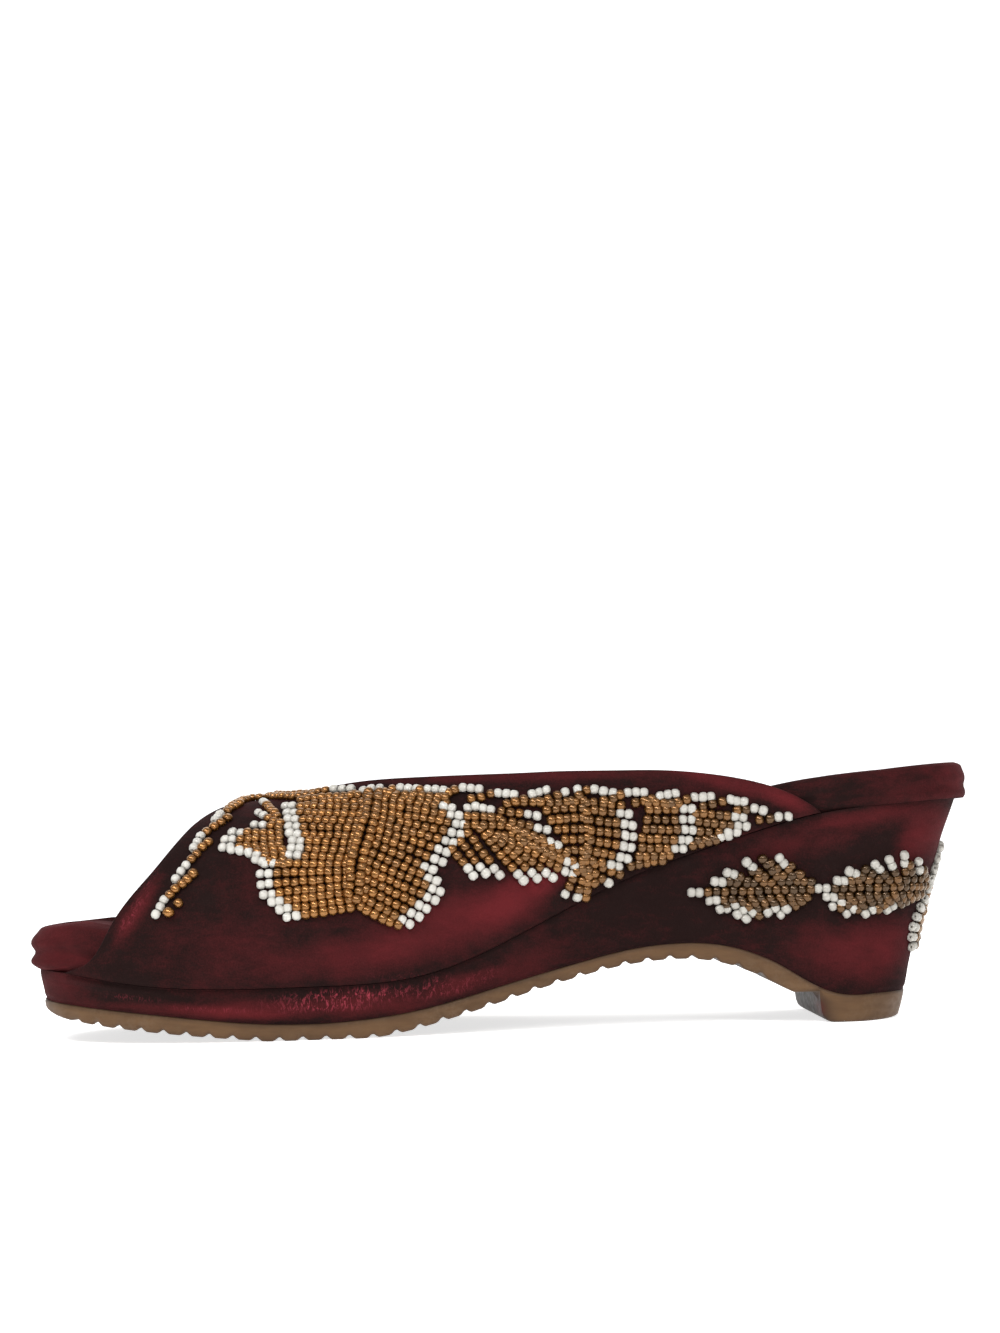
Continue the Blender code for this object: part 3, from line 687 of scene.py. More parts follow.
def makeWedge():
    parts = 0.5 - 0.5 * np.cos(np.linspace(0, np.pi, wedgeShape["levels"] + 1))
    levels = wedgeLevels(wedgeShape["inEnd"], wedgeShape["between"], parts)
    normal = gridNormals(np.concatenate([levels, levels[:, :2]], axis=1))[:, :-2]
    normal[:, 0], normal[:, -1] = normal[:, 1] * [1, 0, 1], normal[:, -2]
    centre = np.array([124.0, 0.0, 30.0])
    flip = np.sign(np.sum(normal * (levels - centre), axis=-1, keepdims=True) * [1.0])
    normal *= np.sign(np.sum(flip))
    along, height = levels[..., 0], levels[..., 2]
    below = levels[-1:, :, 2] - height
    above = height - levels[:1, :, 2]
    push = creaseField(along, height, wedgeCreases)
    push -= 0.3 * bump(below, 0.8) * ease(along, 50, 90) + 0.3 * bump(above, 0.6)
    push += 0.05 * np.sin(along * 1.9 + 0.8 * np.sin(height)) * ease(along, 195, 225) * bump(below, 4.0)
    push += 0.10 * np.sin(along * 0.45 + height * 0.3) * np.sin(height * 0.4 + 1.0)
    edge = np.minimum(below, above)
    push *= ease(edge, -0.1, 0.05) * 0.999 + 0.001
    levels = levels + normal * push[..., None]
    levels[0, :, 2] -= gap - 0.05
    corners, quads = stackedShell(
        levels,
        wedgeShape["crossing"],
        lambda x, y: smooth(soleTop, "height", x) - gap + 0.05,
        lambda x, y: smooth(featherLine, "height", x),
    )
    # marks of painted light: lit patches and glints on the cover
    paintedLight = paintedPatchField(corners[:, 0], corners[:, 2], wedgeLitPatches)
    paintedGlint = paintedPatchField(corners[:, 0], corners[:, 2], randGlints)
    piece = makePiece("wedgeCover", corners, quads, [velvet], marks={"paintedLight": paintedLight, "paintedGlint": paintedGlint}, sharp=60)
    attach(piece, "root")
    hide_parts("wedge")


makeWedge()
print("wedge made")


# Footbed

padShape = table(
    "along thickness outward softness",
    (0, 9.2, 3.0, 0.8), (14, 9.0, 2.5, 0.8), (27, 8.7, 1.4, 0.8), (36, 8.9, -0.1, 0.8), (43, 9.2, -1.1, 0.8),
    (60, 10.6, -1.2, 0.8), (80, 11.2, -1.4, 0.8), (110, 10.9, -1.6, 0.9), (160, 11.4, -1.6, 1.0),
    (210, 13.4, -1.5, 1.1), (236.6, 12.6, -0.9, 1.2), (240, 11.9, 0.6, 1.25), (244, 11.2, 1.9, 1.3), (248, 10.8, 2.1, 1.3),
)
padEdge = table(
    "height outward",
    (0.00, -1.3), (0.08, -0.2), (0.22, 0.0), (0.36, -0.7), (0.50, 0.0), (0.70, -0.3), (0.86, -1.5), (0.96, -3.4), (1.00, -5.8),
)
padLook = {"inEnd": 34, "between": 110, "edgeLevels": 26, "crossing": 44, "dish": 0.8}
# Painted light: lighter patches where light falls on the top of the pad.
padLitPatches = table(
    "u v reachU reachV turn light",
    (236, 10, 16, 24, 0, 0.62),
    (222, 20, 14, 16, 0, 0.40),
    (20, 0, 26, 30, 0, 0.36),
    (34, 18, 16, 10, 0, 0.22),
    (8, 8, 8, 20, 0, 0.25),
)


def makeFootbed():
    # rings up the padded side, then a face that is hollowed a little at the heel
    shape = outlines["top"]
    along = stations(shape, padLook["inEnd"], padLook["between"])
    reach = bothSides(straight(padShape, "outward", along))
    softness = bothSides(straight(padShape, "softness", along)) * (0.55 + 0.45 * ease(bothSides(along), 60, 120))
    base = bothSides(smooth(featherLine, "height", along)) + 0.05
    thickness = bothSides(straight(padShape, "thickness", along)) + gap - 0.05
    levels = []
    for part in 0.5 - 0.5 * np.cos(np.linspace(0, np.pi, padLook["edgeLevels"] + 1)):
        outward = smooth(padEdge, "outward", part, "height")
        levels.append(np.column_stack([ring(along, shape, reach + softness * outward), base + thickness * part]))

    def face(x, y):
        middle, half = smooth(planShape, "middle", x), smooth(planShape, "half", x)
        dish = padLook["dish"] * (1 - np.clip(np.abs(y - middle) / half, 0, 1) ** 2) ** 2
        swell = 0.18 * np.sin(x * 0.11 + 0.4 * np.sin(y * 0.12)) * np.sin(y * 0.09 + 0.6)
        return smooth(featherLine, "height", x) + gap + straight(padShape, "thickness", x) - dish + swell

    corners, quads = stackedShell(levels, padLook["crossing"], lambda x, y: smooth(featherLine, "height", x) + 0.05, face)
    # mark of painted light: lit patches on the pad; no glints
    paintedLight = paintedPatchField(corners[:, 0], corners[:, 1], padLitPatches)
    piece = makePiece(
        "footbedPad", corners, quads, [padVelvet], marks={"paintedLight": paintedLight, "paintedGlint": 0 * paintedLight}, sharp=60
    )
    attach(piece, "root")
    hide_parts("footbed")


makeFootbed()
print("footbed made")


# Vamp

vampShape = {"wall": 1.8, "archPower": 2.2, "bulgeAngle": 13.0, "rows": 150, "columns": 90, "rim": 6}
arch = table(
    "along crest bulge outward",
    (40, 114, 0.0, 1.4), (60, 111, 0.5, 1.2), (80, 106, 1.0, 1.0), (100, 96.0, 1.6, 0.8), (120, 84.5, 2.1, 0.8),
    (140, 76.5, 2.4, 0.8), (156, 70.6, 2.6, 0.8), (167, 66.8, 2.6, 0.8), (178, 62.7, 2.6, 0.8),
    (198, 59.4, 2.3, 0.8), (214, 53.4, 1.6, 0.9), (225, 48.0, 0.8, 1.1), (237, 44.0, 0.0, 1.4),
)
throatEdge = table(
    "along height",
    (178, 62.7), (167, 64.1), (156, 65.1), (140, 65.5), (123, 65.7), (105, 65.9), (90, 65.6), (80, 65.1),
    (70, 63.9), (61, 62.1), (54, 59.9), (48, 57.0), (43, 53.9),
)
toeEdge = table(
    "along height",
    (198.0, 59.4), (200.9, 57.8), (203.9, 55.2), (206.6, 52.0), (210.3, 47.1), (214.2, 41.8), (218.3, 36.9),
    (221.9, 32.0), (223.9, 28.4), (225.9, 24.5), (228.0, 21.6), (231.6, 19.2), (236.0, 17.8),
)
vampCreases = table(
    "startU startV endU endV depth width",
    (203, 55.0, 226, 19.0, 0.30, 1.1),
    (199, 54.0, 221, 21.0, -0.28, 1.3),
    (234, 18.4, 206, 15.6, 0.30, 1.0),
    (228, 21.0, 200, 16.8, -0.24, 1.4),
    (206, 20.0, 180, 15.2, 0.16, 1.5),
    (176, 21.0, 140, 22.0, 0.22, 3.0),
    (165, 16.5, 128, 24.0, -0.16, 2.4),
    (132, 33.0, 112, 40.0, -0.20, 3.0),
    (70, 60.5, 46, 55.5, 0.20, 1.6),
    (80, 62.8, 52, 57.8, -0.14, 1.5),
)
# Painted light: lighter velvet patches where light falls on the vamp.
vampLitPatches = table(
    "u v reachU reachV turn light",
    (138, 28, 20, 7, -16, 0.62),
    (120, 35, 12, 5, -30, 0.55),
    (163, 20, 18, 5, -6, 0.40),
    (112, 40, 6, 4, -30, 0.55),
    (190, 24, 20, 8, 0, 0.16),
    (176, 38, 12, 8, 0, 0.10),
    (216, 33, 2.2, 10, 32, 0.55),
    (118, 64.5, 34, 1.5, 0, 0.35),
    (66, 61.5, 20, 2.2, 18, 0.50),
    (52, 57, 8, 2.5, 38, 0.50),
)
# Painted glints on the vamp's velvet.
vampGlints = table(
    "u v reachU reachV turn light",
    (217, 33, 1.2, 6, 32, 0.55),
    (213, 41, 0.8, 3, 32, 0.35),
    (151, 14.8, 8, 0.8, 0, 0.25),
)


def archBase(along):
    return smooth(featherLine, "height", along) + gap


def vampPoint(along, angle):
    # superellipse arch over the feather line, swelling just above it; angle 0 is the crest, 90 the inner foot
    inner, outer = outline(along, outlines["top"])
    turn = np.radians(np.clip(np.abs(angle), 0, 90))
    low = 90 - np.abs(angle)
    reach = vampShape["bulgeAngle"]
    swell = smooth(arch, "bulge", along) * low / reach * np.exp(1 - low / reach) + smooth(arch, "outward", along)
    power = 2 / vampShape["archPower"]
    out = (inner - outer) / 2 * np.sin(turn) ** power + swell * np.sin(turn)
    base = archBase(along)
    rise = (smooth(arch, "crest", along) - base) * np.cos(turn) ** power
    return np.stack([along + 0 * angle, (inner + outer) / 2 + np.sign(angle) * out, base + rise], -1)


def vampAngle(along, height):
    # the angle at which the arch passes through a height
    share = (height - archBase(along)) / (smooth(arch, "crest", along) - archBase(along))
    return np.degrees(np.arccos(np.clip(share, 0, 1) ** (vampShape["archPower"] / 2)))


def edgeAlong(edge, angle):
    turn = vampAngle(edge["along"], edge["height"])
    turn[0], turn[-1] = 0, 90
    mirrored = {
        "turn": np.concatenate([-turn[:0:-1], turn]),
        "along": np.concatenate([edge["along"][:0:-1], edge["along"]]),
    }
    return smooth(mirrored, "along", angle, "turn")


def vampOutward(points):
    normal = gridNormals(points)
    return normal * np.sign(normal[points.shape[0] // 2, points.shape[1] // 2, 2])


def makeVamp():
    # a wall of even thickness with rolled edges: outside and inside halves of one closed loop for each angle
    wall = vampShape["wall"]
    bend = np.linspace(-1, 1, vampShape["rows"] + 1)[:, None]
    angle = 90 * np.sign(bend) * np.abs(bend) ** 0.93
    part = np.linspace(0, 1, vampShape["columns"] + 1)[None, :]
    toe = edgeAlong(toeEdge, angle) - wall / 2
    throat = edgeAlong(throatEdge, angle) + wall / 2
    along = toe + (throat - toe) * part
    surface = vampPoint(along, angle + 0 * part)
    outward = vampOutward(surface)
    height = surface[..., 2]
    push = creaseField(along, height, vampCreases)
    push += 0.10 * np.sin(along * 0.21 + angle * 0.05) * np.sin(angle * 0.11)
    surface = surface + outward * (push * ease(90 - np.abs(angle), 0.0, 4.0))[..., None]
    middle = surface - outward * wall / 2
    ahead = np.gradient(middle, axis=1)
    ahead /= np.linalg.norm(ahead, axis=-1)[..., None]
    turns = np.radians(np.linspace(90, 0, vampShape["rim"] + 1))[:-1][None, :, None]

    def half(sign):
        # from the tip of the toe edge, over one face, to the tip of the throat edge
        start = middle[:, :1] + wall / 2 * (sign * np.cos(turns) * outward[:, :1] - np.sin(turns) * ahead[:, :1])
        back = turns[:, ::-1]
        end = middle[:, -1:] + wall / 2 * (sign * np.cos(back) * outward[:, -1:] + np.sin(back) * ahead[:, -1:])
        return np.concatenate([start, middle + sign * wall / 2 * outward, end], axis=1)

    outside, inside = half(1.0), half(-1.0)
    loop = np.concatenate([outside, inside[:, ::-1]], axis=1)
    rows, columns = loop.shape[:2]
    quads = [gridQuads(rows, columns, wrap=True)]
    slots = [np.tile(np.arange(columns) >= columns // 2 + vampShape["rim"] + 3, rows - 1)]
    ends = np.arange(columns // 2 - 1)
    for row in (0, rows - 1):
        first = row * columns
        quads.append(np.stack([first + ends, first + ends + 1, first + columns - 2 - ends, first + columns - 1 - ends], -1))
        slots.append(np.zeros(len(ends)))
    corners = loop.reshape(-1, 3)
    # marks of painted light: lit patches and glints on the vamp
    paintedLight = paintedPatchField(corners[:, 0], corners[:, 2], vampLitPatches)
    paintedGlint = paintedPatchField(corners[:, 0], corners[:, 2], vampGlints)
    piece = makePiece(
        "vampUpper",
        corners,
        np.vstack(quads),
        [velvet, lining],
        slots=np.concatenate(slots).astype(int),
        marks={"paintedLight": paintedLight, "paintedGlint": paintedGlint},
        sharp=60,
    )
    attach(piece, "root")
    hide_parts("vamp")


makeVamp()
print("vamp made")


# Beadwork: rows of beads, most of them ending in white. Places are bead centres, as along and height on one side.

beadSize = {
    "pearlLong": 2.25, "pearlWide": 2.5, "amberLong": 2.35, "amberWide": 2.75, "tall": 2.2,
    "step": 2.12, "row": 2.75, "sink": 0.35, "wander": 0.08, "lean": 0.06,
}
# How far beads sink into shade towards the heel.
beadShade = table("along shade", (50, 0.62), (75, 0.5), (100, 0.36), (130, 0.24), (160, 0.1), (178, 0.0))


def beadShape(sides, profile):
    # a barrel round its thread with a hole through it: rings of (place along the thread, radius), in bead sizes
    place, radius = np.array(profile, float).T
    turn = np.linspace(0, 2 * np.pi, sides, endpoint=False)[None, :]
    points = np.stack([place[:, None] + 0 * turn, radius[:, None] * np.cos(turn), radius[:, None] * np.sin(turn)], -1)
    quads = gridQuads(len(place) + 1, sides, wrap=True)
    return points.reshape(-1, 3), quads % (len(place) * sides)


pearlShape = beadShape(8, [(-0.34, 0.1), (-0.48, 0.28), (-0.27, 0.46), (0, 0.5), (0.27, 0.46), (0.48, 0.28), (0.34, 0.1)])
amberShape = beadShape(8, [(-0.36, 0.1), (-0.49, 0.26), (-0.27, 0.45), (0, 0.5), (0.27, 0.45), (0.49, 0.26), (0.36, 0.1)])


def spread(points, count):
    # points spread evenly along a chart polyline
    points = np.array(points, float)
    run = np.concatenate([[0], np.cumsum(np.linalg.norm(np.diff(points, axis=0), axis=1))])
    at = np.linspace(0, run[-1], count)
    return np.stack([np.interp(at, run, points[:, axis]) for axis in (0, 1)], -1)


def layBeads(surfaceOf, strings):
    # beads threaded evenly along strings of (whites, chart polyline): place, thread direction, outward, white or not
    found = []
    for white, line in strings:
        dense = spread(line, 40)
        points, outward = surfaceOf(dense[:, 0], dense[:, 1])
        run = np.concatenate([[0], np.cumsum(np.linalg.norm(np.diff(points, axis=0), axis=1))])
        count = int(round(run[-1] / beadSize["step"])) + 1
        at = np.linspace(0, run[-1], count)
        ahead = np.gradient(points, axis=0)
        place, thread, out = (
            np.stack([np.interp(at, run, values[:, axis]) for axis in range(3)], -1)
            for values in (points, ahead, outward)
        )
        found.append((place, thread, out, np.arange(count) < white))
    return [np.concatenate(parts) for parts in zip(*found)]


def fillPetal(whites, outer, inner, lengthOf):
    # rows from rail to rail, a bead's width apart; every second one stops short where they crowd together
    count = max(int(round(lengthOf(outer) / beadSize["row"])) + 1, 2)
    starts, ends = spread(outer, count), spread(inner, count)
    wideSpace, narrowSpace = lengthOf(outer) / (count - 1), lengthOf(inner) / (count - 1)
    limit = 0.62 * beadSize["row"]
    reach = 1.0 if narrowSpace >= limit else (wideSpace - limit) / (wideSpace - narrowSpace)
    shares = np.where(np.arange(count) % 2 == 0, 1.0, np.clip(reach, 0.4, 1.0))[:, None]
    return [(whites, line) for line in np.stack([starts, starts + (ends - starts) * shares], axis=1)]


def makeBeads(name, nodes, beads, shadeOf=lambda along: straight(beadShade, "shade", along)):
    # every bead is a copy of one small barrel: its place, plus its points along the thread, across and out
    place, thread, out, white = beads
    thread = thread / np.linalg.norm(thread, axis=1)[:, None]
    out = out - thread * np.sum(out * thread, axis=1)[:, None]
    out /= np.linalg.norm(out, axis=1)[:, None]
    across = np.cross(thread, out)
    count = len(place)
    lean = randomDraws.normal(0, beadSize["lean"], (count, 2))
    thread = thread + lean[:, :1] * across + lean[:, 1:] * out
    # tone: a random difference for each bead plus painted shade that grows towards the heel
    tone = randomDraws.uniform(0, 0.4, count) + shadeOf(place[:, 0])
    size = randomDraws.normal(1, 0.03, count)
    place = place + randomDraws.normal(0, beadSize["wander"], (count, 3))
    place = place + out * (size * beadSize["tall"] / 2 - beadSize["sink"])[:, None]
    corners, quads, slots, tones, used = [], [], [], [], 0
    for slot, kind, chosen, (points, faces) in ((0, "pearl", white, pearlShape), (1, "amber", ~white, amberShape)):
        scaled = size[chosen][:, None, None]
        body = points[None, :, :1] * beadSize[kind + "Long"] * thread[chosen][:, None]
        body = body + points[None, :, 1:2] * beadSize[kind + "Wide"] * across[chosen][:, None]
        body = body + points[None, :, 2:] * beadSize["tall"] * out[chosen][:, None]
        corners.append((place[chosen][:, None] + scaled * body).reshape(-1, 3))
        starts = np.arange(chosen.sum())[:, None, None] * len(points)
        quads.append((faces[None] + starts).reshape(-1, 4) + used)
        slots.append(np.full(chosen.sum() * len(faces), slot))
        tones.append(np.repeat(tone[chosen], len(points)))
        used += chosen.sum() * len(points)
    piece = makePiece(
        name, np.vstack(corners), np.vstack(quads), [pearl, amber], slots=np.concatenate(slots),
        marks={"tone": np.concatenate(tones)}, merge=None,
    )
    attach(piece, "root")
    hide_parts(*nodes)
    print(name, count, "beads")


def outOfVamp(point, along, angle):
    # unit normal from two short steps over the surface, turned away from the foot
    step = 0.4
    normal = np.cross(vampPoint(along + step, angle) - point, vampPoint(along, angle + step) - point)
    normal /= np.linalg.norm(normal, axis=1)[:, None]
    return normal * np.sign(np.sum(normal * (point - [120, 0, 20]), axis=1))[:, None]


def sideChart(side):
    # chart of one side of the vamp by along and height
    def surfaceOf(along, height):
        angle = side * vampAngle(along, height)
        point = vampPoint(along, angle)
        return point, outOfVamp(point, along, angle)

    return surfaceOf


def crestChart(along, angle):
    # chart of the whole vamp by along and angle over the arch
    point = vampPoint(along, angle)
    return point, outOfVamp(point, along, angle)


def chartLength(surfaceOf):
    def lengthOf(points):
        dense = spread(points, 40)
        place = surfaceOf(dense[:, 0], dense[:, 1])[0]
        return np.linalg.norm(np.diff(place, axis=0), axis=1).sum()

    return lengthOf


# Petals and fans filled with rows: whites in a row, rail of the outermost beads, rail of the innermost.
petals = [
    (2, [(180, 58), (179, 55.5), (178.5, 52.5), (178, 50.5), (177, 48), (178, 45.5)],
        [(159.5, 57), (160.5, 54.5), (161, 52.5), (161.5, 50.5), (162.5, 46.5), (163, 44.5)]),
    (2, [(184, 43.5), (185, 41.5), (185, 39), (184, 36), (181, 33), (178, 30.5)],
        [(163.5, 43), (163.5, 39.5), (163.5, 36.5), (162.5, 32.5)]),
    (2, [(193, 51.5), (195.5, 49), (195, 47.5), (188.5, 46.5), (186.5, 44.5)],
        [(181, 51), (180.5, 48.5), (179.5, 46), (179.5, 44), (179, 43)]),
    (2, [(137, 56.5), (134, 53), (134, 51), (136, 48.5), (138, 46.5), (139.5, 43)],
        [(154, 59), (154, 57), (154.5, 54), (155, 51.5), (155.5, 49.5)]),
    (2, [(142, 41), (141, 37.5), (140, 35), (142.5, 33), (144, 31.5), (146, 29.5), (148, 28)],
        [(156, 47.5), (157, 45.5), (158, 43), (158.5, 38), (159, 34.5)]),
    (2, [(92, 54), (91, 50.5), (91, 47), (92, 45), (93, 42.5), (95, 41)],
        [(101, 55), (102, 53), (102, 48), (102.5, 45.5), (104, 43)]),
    (0, [(113, 55.5), (111.5, 52), (109, 49), (108, 45), (107, 42.5)], [(104, 56), (104, 52), (104.5, 47.5), (104.5, 42.5)]),
    (2, [(76, 55), (76, 51.5), (76, 49), (77, 47), (78.5, 45)], [(87, 55), (87.5, 52.5), (88, 50), (89, 48), (89, 45.5)]),
    (2, [(63, 52.5), (62, 50.5), (64, 49), (67, 48)], [(75, 54), (74, 51), (74, 49), (74.5, 47)]),
]
# Single strings: whites first, then the line.
strings = [
    (2, [(186.5, 59.5), (182, 55.5)]), (2, [(187, 56.5), (181, 53.5)]), (2, [(187.5, 53.5), (181, 52.5)]),
    (0, [(174, 58), (168, 59), (160, 58.5)]), (0, [(176, 59.5), (168, 60.2), (159, 60.2)]),
    (0, [(153, 60.5), (138.5, 59)]), (0, [(153.5, 59.8), (138.5, 57.6)]),
    (0, [(151, 27.9), (155, 29.6), (160, 32.5)]),
    (2, [(132, 39.5), (137, 46)]), (2, [(129, 40), (135, 48)]), (2, [(125.5, 39.5), (133, 50)]),
    (2, [(119.5, 38), (130, 51)]), (2, [(116, 38.5), (127.5, 50)]), (2, [(112, 38.5), (125.5, 49.5)]),
    (2, [(107, 39), (124, 49)]), (2, [(106.5, 41.5), (122, 49.5)]), (0, [(108.5, 44.5), (121, 50.5)]),
    (2, [(110.5, 46.5), (122.5, 51.5)]), (2, [(113, 50.5), (124, 53)]), (2, [(115.5, 54), (124.5, 55.5)]),
    (0, [(133, 54.3), (125, 53.7)]), (0, [(133.5, 52), (124.5, 51.7)]), (4, [(133, 56.5), (131, 56.8), (127, 55.8)]),
    (1, [(98, 37), (104.5, 41.5)]), (1, [(106, 33.5), (104, 39.5)]), (1, [(109, 34.5), (106, 40)]),
    (0, [(101.5, 37), (104.5, 40.5)]), (0, [(95, 39), (103.5, 42.5)]), (0, [(103.8, 33.5), (103, 39)]),
    (0, [(82, 43.5), (90, 43.5)]), (0, [(84, 42.3), (92, 41)]), (0, [(102.8, 57), (102.8, 50), (103.3, 44)]),
    (0, [(118.5, 57.6), (111, 57.2), (103.5, 57.6)]), (0, [(101, 57.2), (94, 56.2)]), (0, [(87, 56.8), (79, 56.4)]),
    (0, [(70, 47), (76, 45.8)]), (0, [(110, 43), (119, 47.5)]),
]
centreStrands = [
    [(155.5, 60.5), (156, 56.5), (157.5, 49.5), (158.5, 47), (159.5, 43.5), (160, 39.5), (160.5, 36), (161, 34)],
    [(158, 60.5), (158.5, 55), (160, 51.5), (161, 48), (162, 44.5), (162.5, 41.5), (162.5, 37.5), (163, 35.5)],
]

# Garland under the throat edge: first and last white bead of each group, from the crest to the end of the wing.
throatGroups = table(
    "along height lastAlong lastHeight",
    (167.5, 62, 163, 62), (160, 61.5, 155.5, 62), (150, 62, 146, 61.5), (143, 61.5, 139, 61), (134, 61.5, 130, 61),
    (125, 60, 121, 59.5), (116.5, 59.5, 113, 60.5), (108, 60, 105, 60.5), (100.5, 60.5, 96, 59.5),
    (92, 59.5, 88, 59.5), (84, 58.5, 80, 59), (75, 58, 71, 58), (66, 57, 62.5, 56.5), (60, 54.7, 57.7, 54.2),
    (54, 52.6, 51.5, 52.4),
)


def stitchGarland(groups, drop):
    # back stitches: each string starts beside the middle of the group before, and ends in its own whites
    names = list(groups)
    first = np.stack([groups[names[0]], groups[names[1]]], -1)
    last = np.stack([groups[names[2]], groups[names[3]]], -1)
    middle = (first + last) / 2
    found = [(9, [first[0], last[0]])]
    for i in range(1, len(first)):
        whites = (9, [first[i], last[i]])
        toward = (first[i] - last[i]) / np.linalg.norm(first[i] - last[i])
        gold = (0, [middle[i - 1] + drop, first[i] + toward * beadSize["step"] + 0.25 * np.array(drop)])
        found += [gold, whites]
    return found


def makeSideBeads(side, word):
    surfaceOf = sideChart(side)
    lengthOf = chartLength(surfaceOf)
    found = []
    for white, outer, inner in petals:
        found += fillPetal(white, outer, inner, lengthOf)
    beads = layBeads(surfaceOf, found + strings + stitchGarland(throatGroups, (0, -2.5)))
    raised = layBeads(surfaceOf, [(0, line) for line in centreStrands])
    raised[0] = raised[0] + 0.8 * raised[2]
    makeBeads("sideBeads_" + word, ["beadwork_" + word], [np.concatenate(both) for both in zip(beads, raised)])


makeSideBeads(1, "inner")
makeSideBeads(-1, "outer")

# Garland behind the toe edge, by along and angle: first and last white bead of each group on one side.
toeGroups = table(
    "along angle lastAlong lastAngle",
    (197, 23, 198, 27), (201, 36, 202.3, 41.5), (204, 49, 206.3, 54), (208.8, 61.5, 210.8, 66.5),
)
toeGold = [
    [(193, 14), (195.5, 20.5)], [(195, 27.5), (199.5, 34)], [(199, 40), (202.7, 47)], [(202, 53.5), (207.4, 60)],
    [(207.5, 66.5), (205.2, 64)],
]


def makeToeGarland():
    # the groups and their gold stitches on both sides, and gold alone over the crest
    found = []
    for side in (1, -1):
        for i in range(len(toeGroups["along"])):
            a, b, c, d = (toeGroups[key][i] for key in toeGroups)
            found.append((9, [(a, side * b), (c, side * d)]))
        found += [(0, [(along, side * angle) for along, angle in line]) for line in toeGold]
        found.append((0, [(192.2, side * 4), (195.3, side * 17)]))
    found.append((0, [(193.6, 6), (192.6, 0), (193.6, -6)]))
    makeBeads("toeGarland", ["garland_toe"], layBeads(crestChart, found))


def makeThroatGarland():
    # the throat garland carried over the crest in gold, with a short stem towards the toe
    found = []
    for shift, reach in ((0.0, 23.5), (2.3, 22.5)):
        angles = np.linspace(-reach, reach, 15)
        found.append((0, list(zip(184 + shift - 0.026 * angles**2, angles))))
    for angle, length in ((0.0, 4.4), (3.2, 3.0), (-3.2, 3.0)):
        found.append((0, [(188.6, angle), (188.6 + length, angle)]))
    makeBeads("throatGarland", ["garland_throat"], layBeads(crestChart, found))


makeToeGarland()
makeThroatGarland()


# Leaves and flower on the wedge

wedgeGrid = wedgeLevels(24, 60, np.linspace(0, 1, 13))


def wedgeOutline(height):
    # the wedge's outline at a height: inner side and outer side, from heel to toe
    share = np.clip((height - wedgeGrid[0, :, 2]) / (wedgeGrid[-1, :, 2] - wedgeGrid[0, :, 2]), 0, 1) * 12
    low = np.clip(share.astype(int), 0, 11)
    part = (share - low)[:, None]
    column = np.arange(wedgeGrid.shape[1])
    places = (wedgeGrid[low, column] * (1 - part) + wedgeGrid[low + 1, column] * part)[:, :2]
    half = len(places) // 2
    return places[:half + 1], np.vstack([places[:1], places[:half - 1:-1]])


def wedgeChart(side):
    # chart places are (distance round the heel from its back middle line, height)
    def surfaceOf(around, height):
        points = []
        for a, h in zip(around, height):
            inner, outer = wedgeOutline(h)
            line = np.vstack([outer[:0:-1], inner])
            run = np.concatenate([[0], np.cumsum(np.linalg.norm(np.diff(line, axis=0), axis=1))])
            at = run[len(outer) - 1] + side * a
            points.append((np.interp(at, run, line[:, 0]), np.interp(at, run, line[:, 1]), h))
        return np.array(points)

    def withNormal(around, height):
        step = 0.5
        point = surfaceOf(around, height)
        normal = np.cross(surfaceOf(around + step, height) - point, surfaceOf(around, height + step) - point)
        normal /= np.linalg.norm(normal, axis=1)[:, None]
        centre = point * [0, 0, 1] + [60, 0, 0]
        return point, normal * np.sign(np.sum(normal * (point - centre), axis=1))[:, None]

    return withNormal


def aroundFromAlong(along):
    # distance round the heel of a station on the side, at the leaves' height
    inner = wedgeOutline(34.0)[0]
    run = np.concatenate([[0], np.cumsum(np.linalg.norm(np.diff(inner, axis=0), axis=1))])
    return np.interp(along, inner[:, 0], run)


# Rows of a leaf from its outer bead to its midrib: whites, along and height, then along at the midrib.
frontLeaf = table(
    "white along height rib",
    (2, 71.3, 36.6, 65.5), (0, 67.5, 36.6, 63), (2, 69.0, 38.8, 61), (0, 62.5, 38.8, 58.5), (2, 65.0, 41.3, 56.5),
    (0, 61.0, 42.0, 54), (0, 58.5, 40.8, 52), (2, 56.8, 42.1, 50), (0, 53.0, 39.9, 48.3), (0, 49.8, 37.6, 46.6),
    (2, 71.2, 31.7, 65.5), (1, 67.9, 29.3, 63), (2, 66.0, 29.3, 60.5), (2, 63.0, 27.8, 58), (2, 60.3, 26.7, 55.5),
    (0, 57.3, 27.5, 53), (2, 55.3, 28.2, 50.5), (2, 52.0, 27.6, 48.3), (0, 48.6, 29.8, 46.3),
)
backLeaf = table(
    "white along height rib",
    (2, 39.8, 35.8, 34.5), (2, 37.5, 38.2, 31.8), (0, 33.8, 38.6, 29.3), (2, 31.7, 39.9, 26.9), (2, 28.3, 40.9, 24.5),
    (2, 24.7, 42.0, 22), (0, 22.5, 39.6, 19.8), (2, 20.0, 40.4, 17.8), (0, 17.5, 38.0, 15.8),
    (2, 41.2, 31.8, 35.5), (2, 39.1, 29.3, 33), (0, 36.9, 29.0, 30.8), (2, 35.0, 27.4, 28.6), (0, 32.5, 28.4, 26.3),
    (2, 30.2, 27.3, 24.2), (0, 27.5, 28.5, 22), (2, 24.9, 28.0, 20), (0, 21.6, 29.4, 17.8), (0, 18.6, 30.8, 16),
)


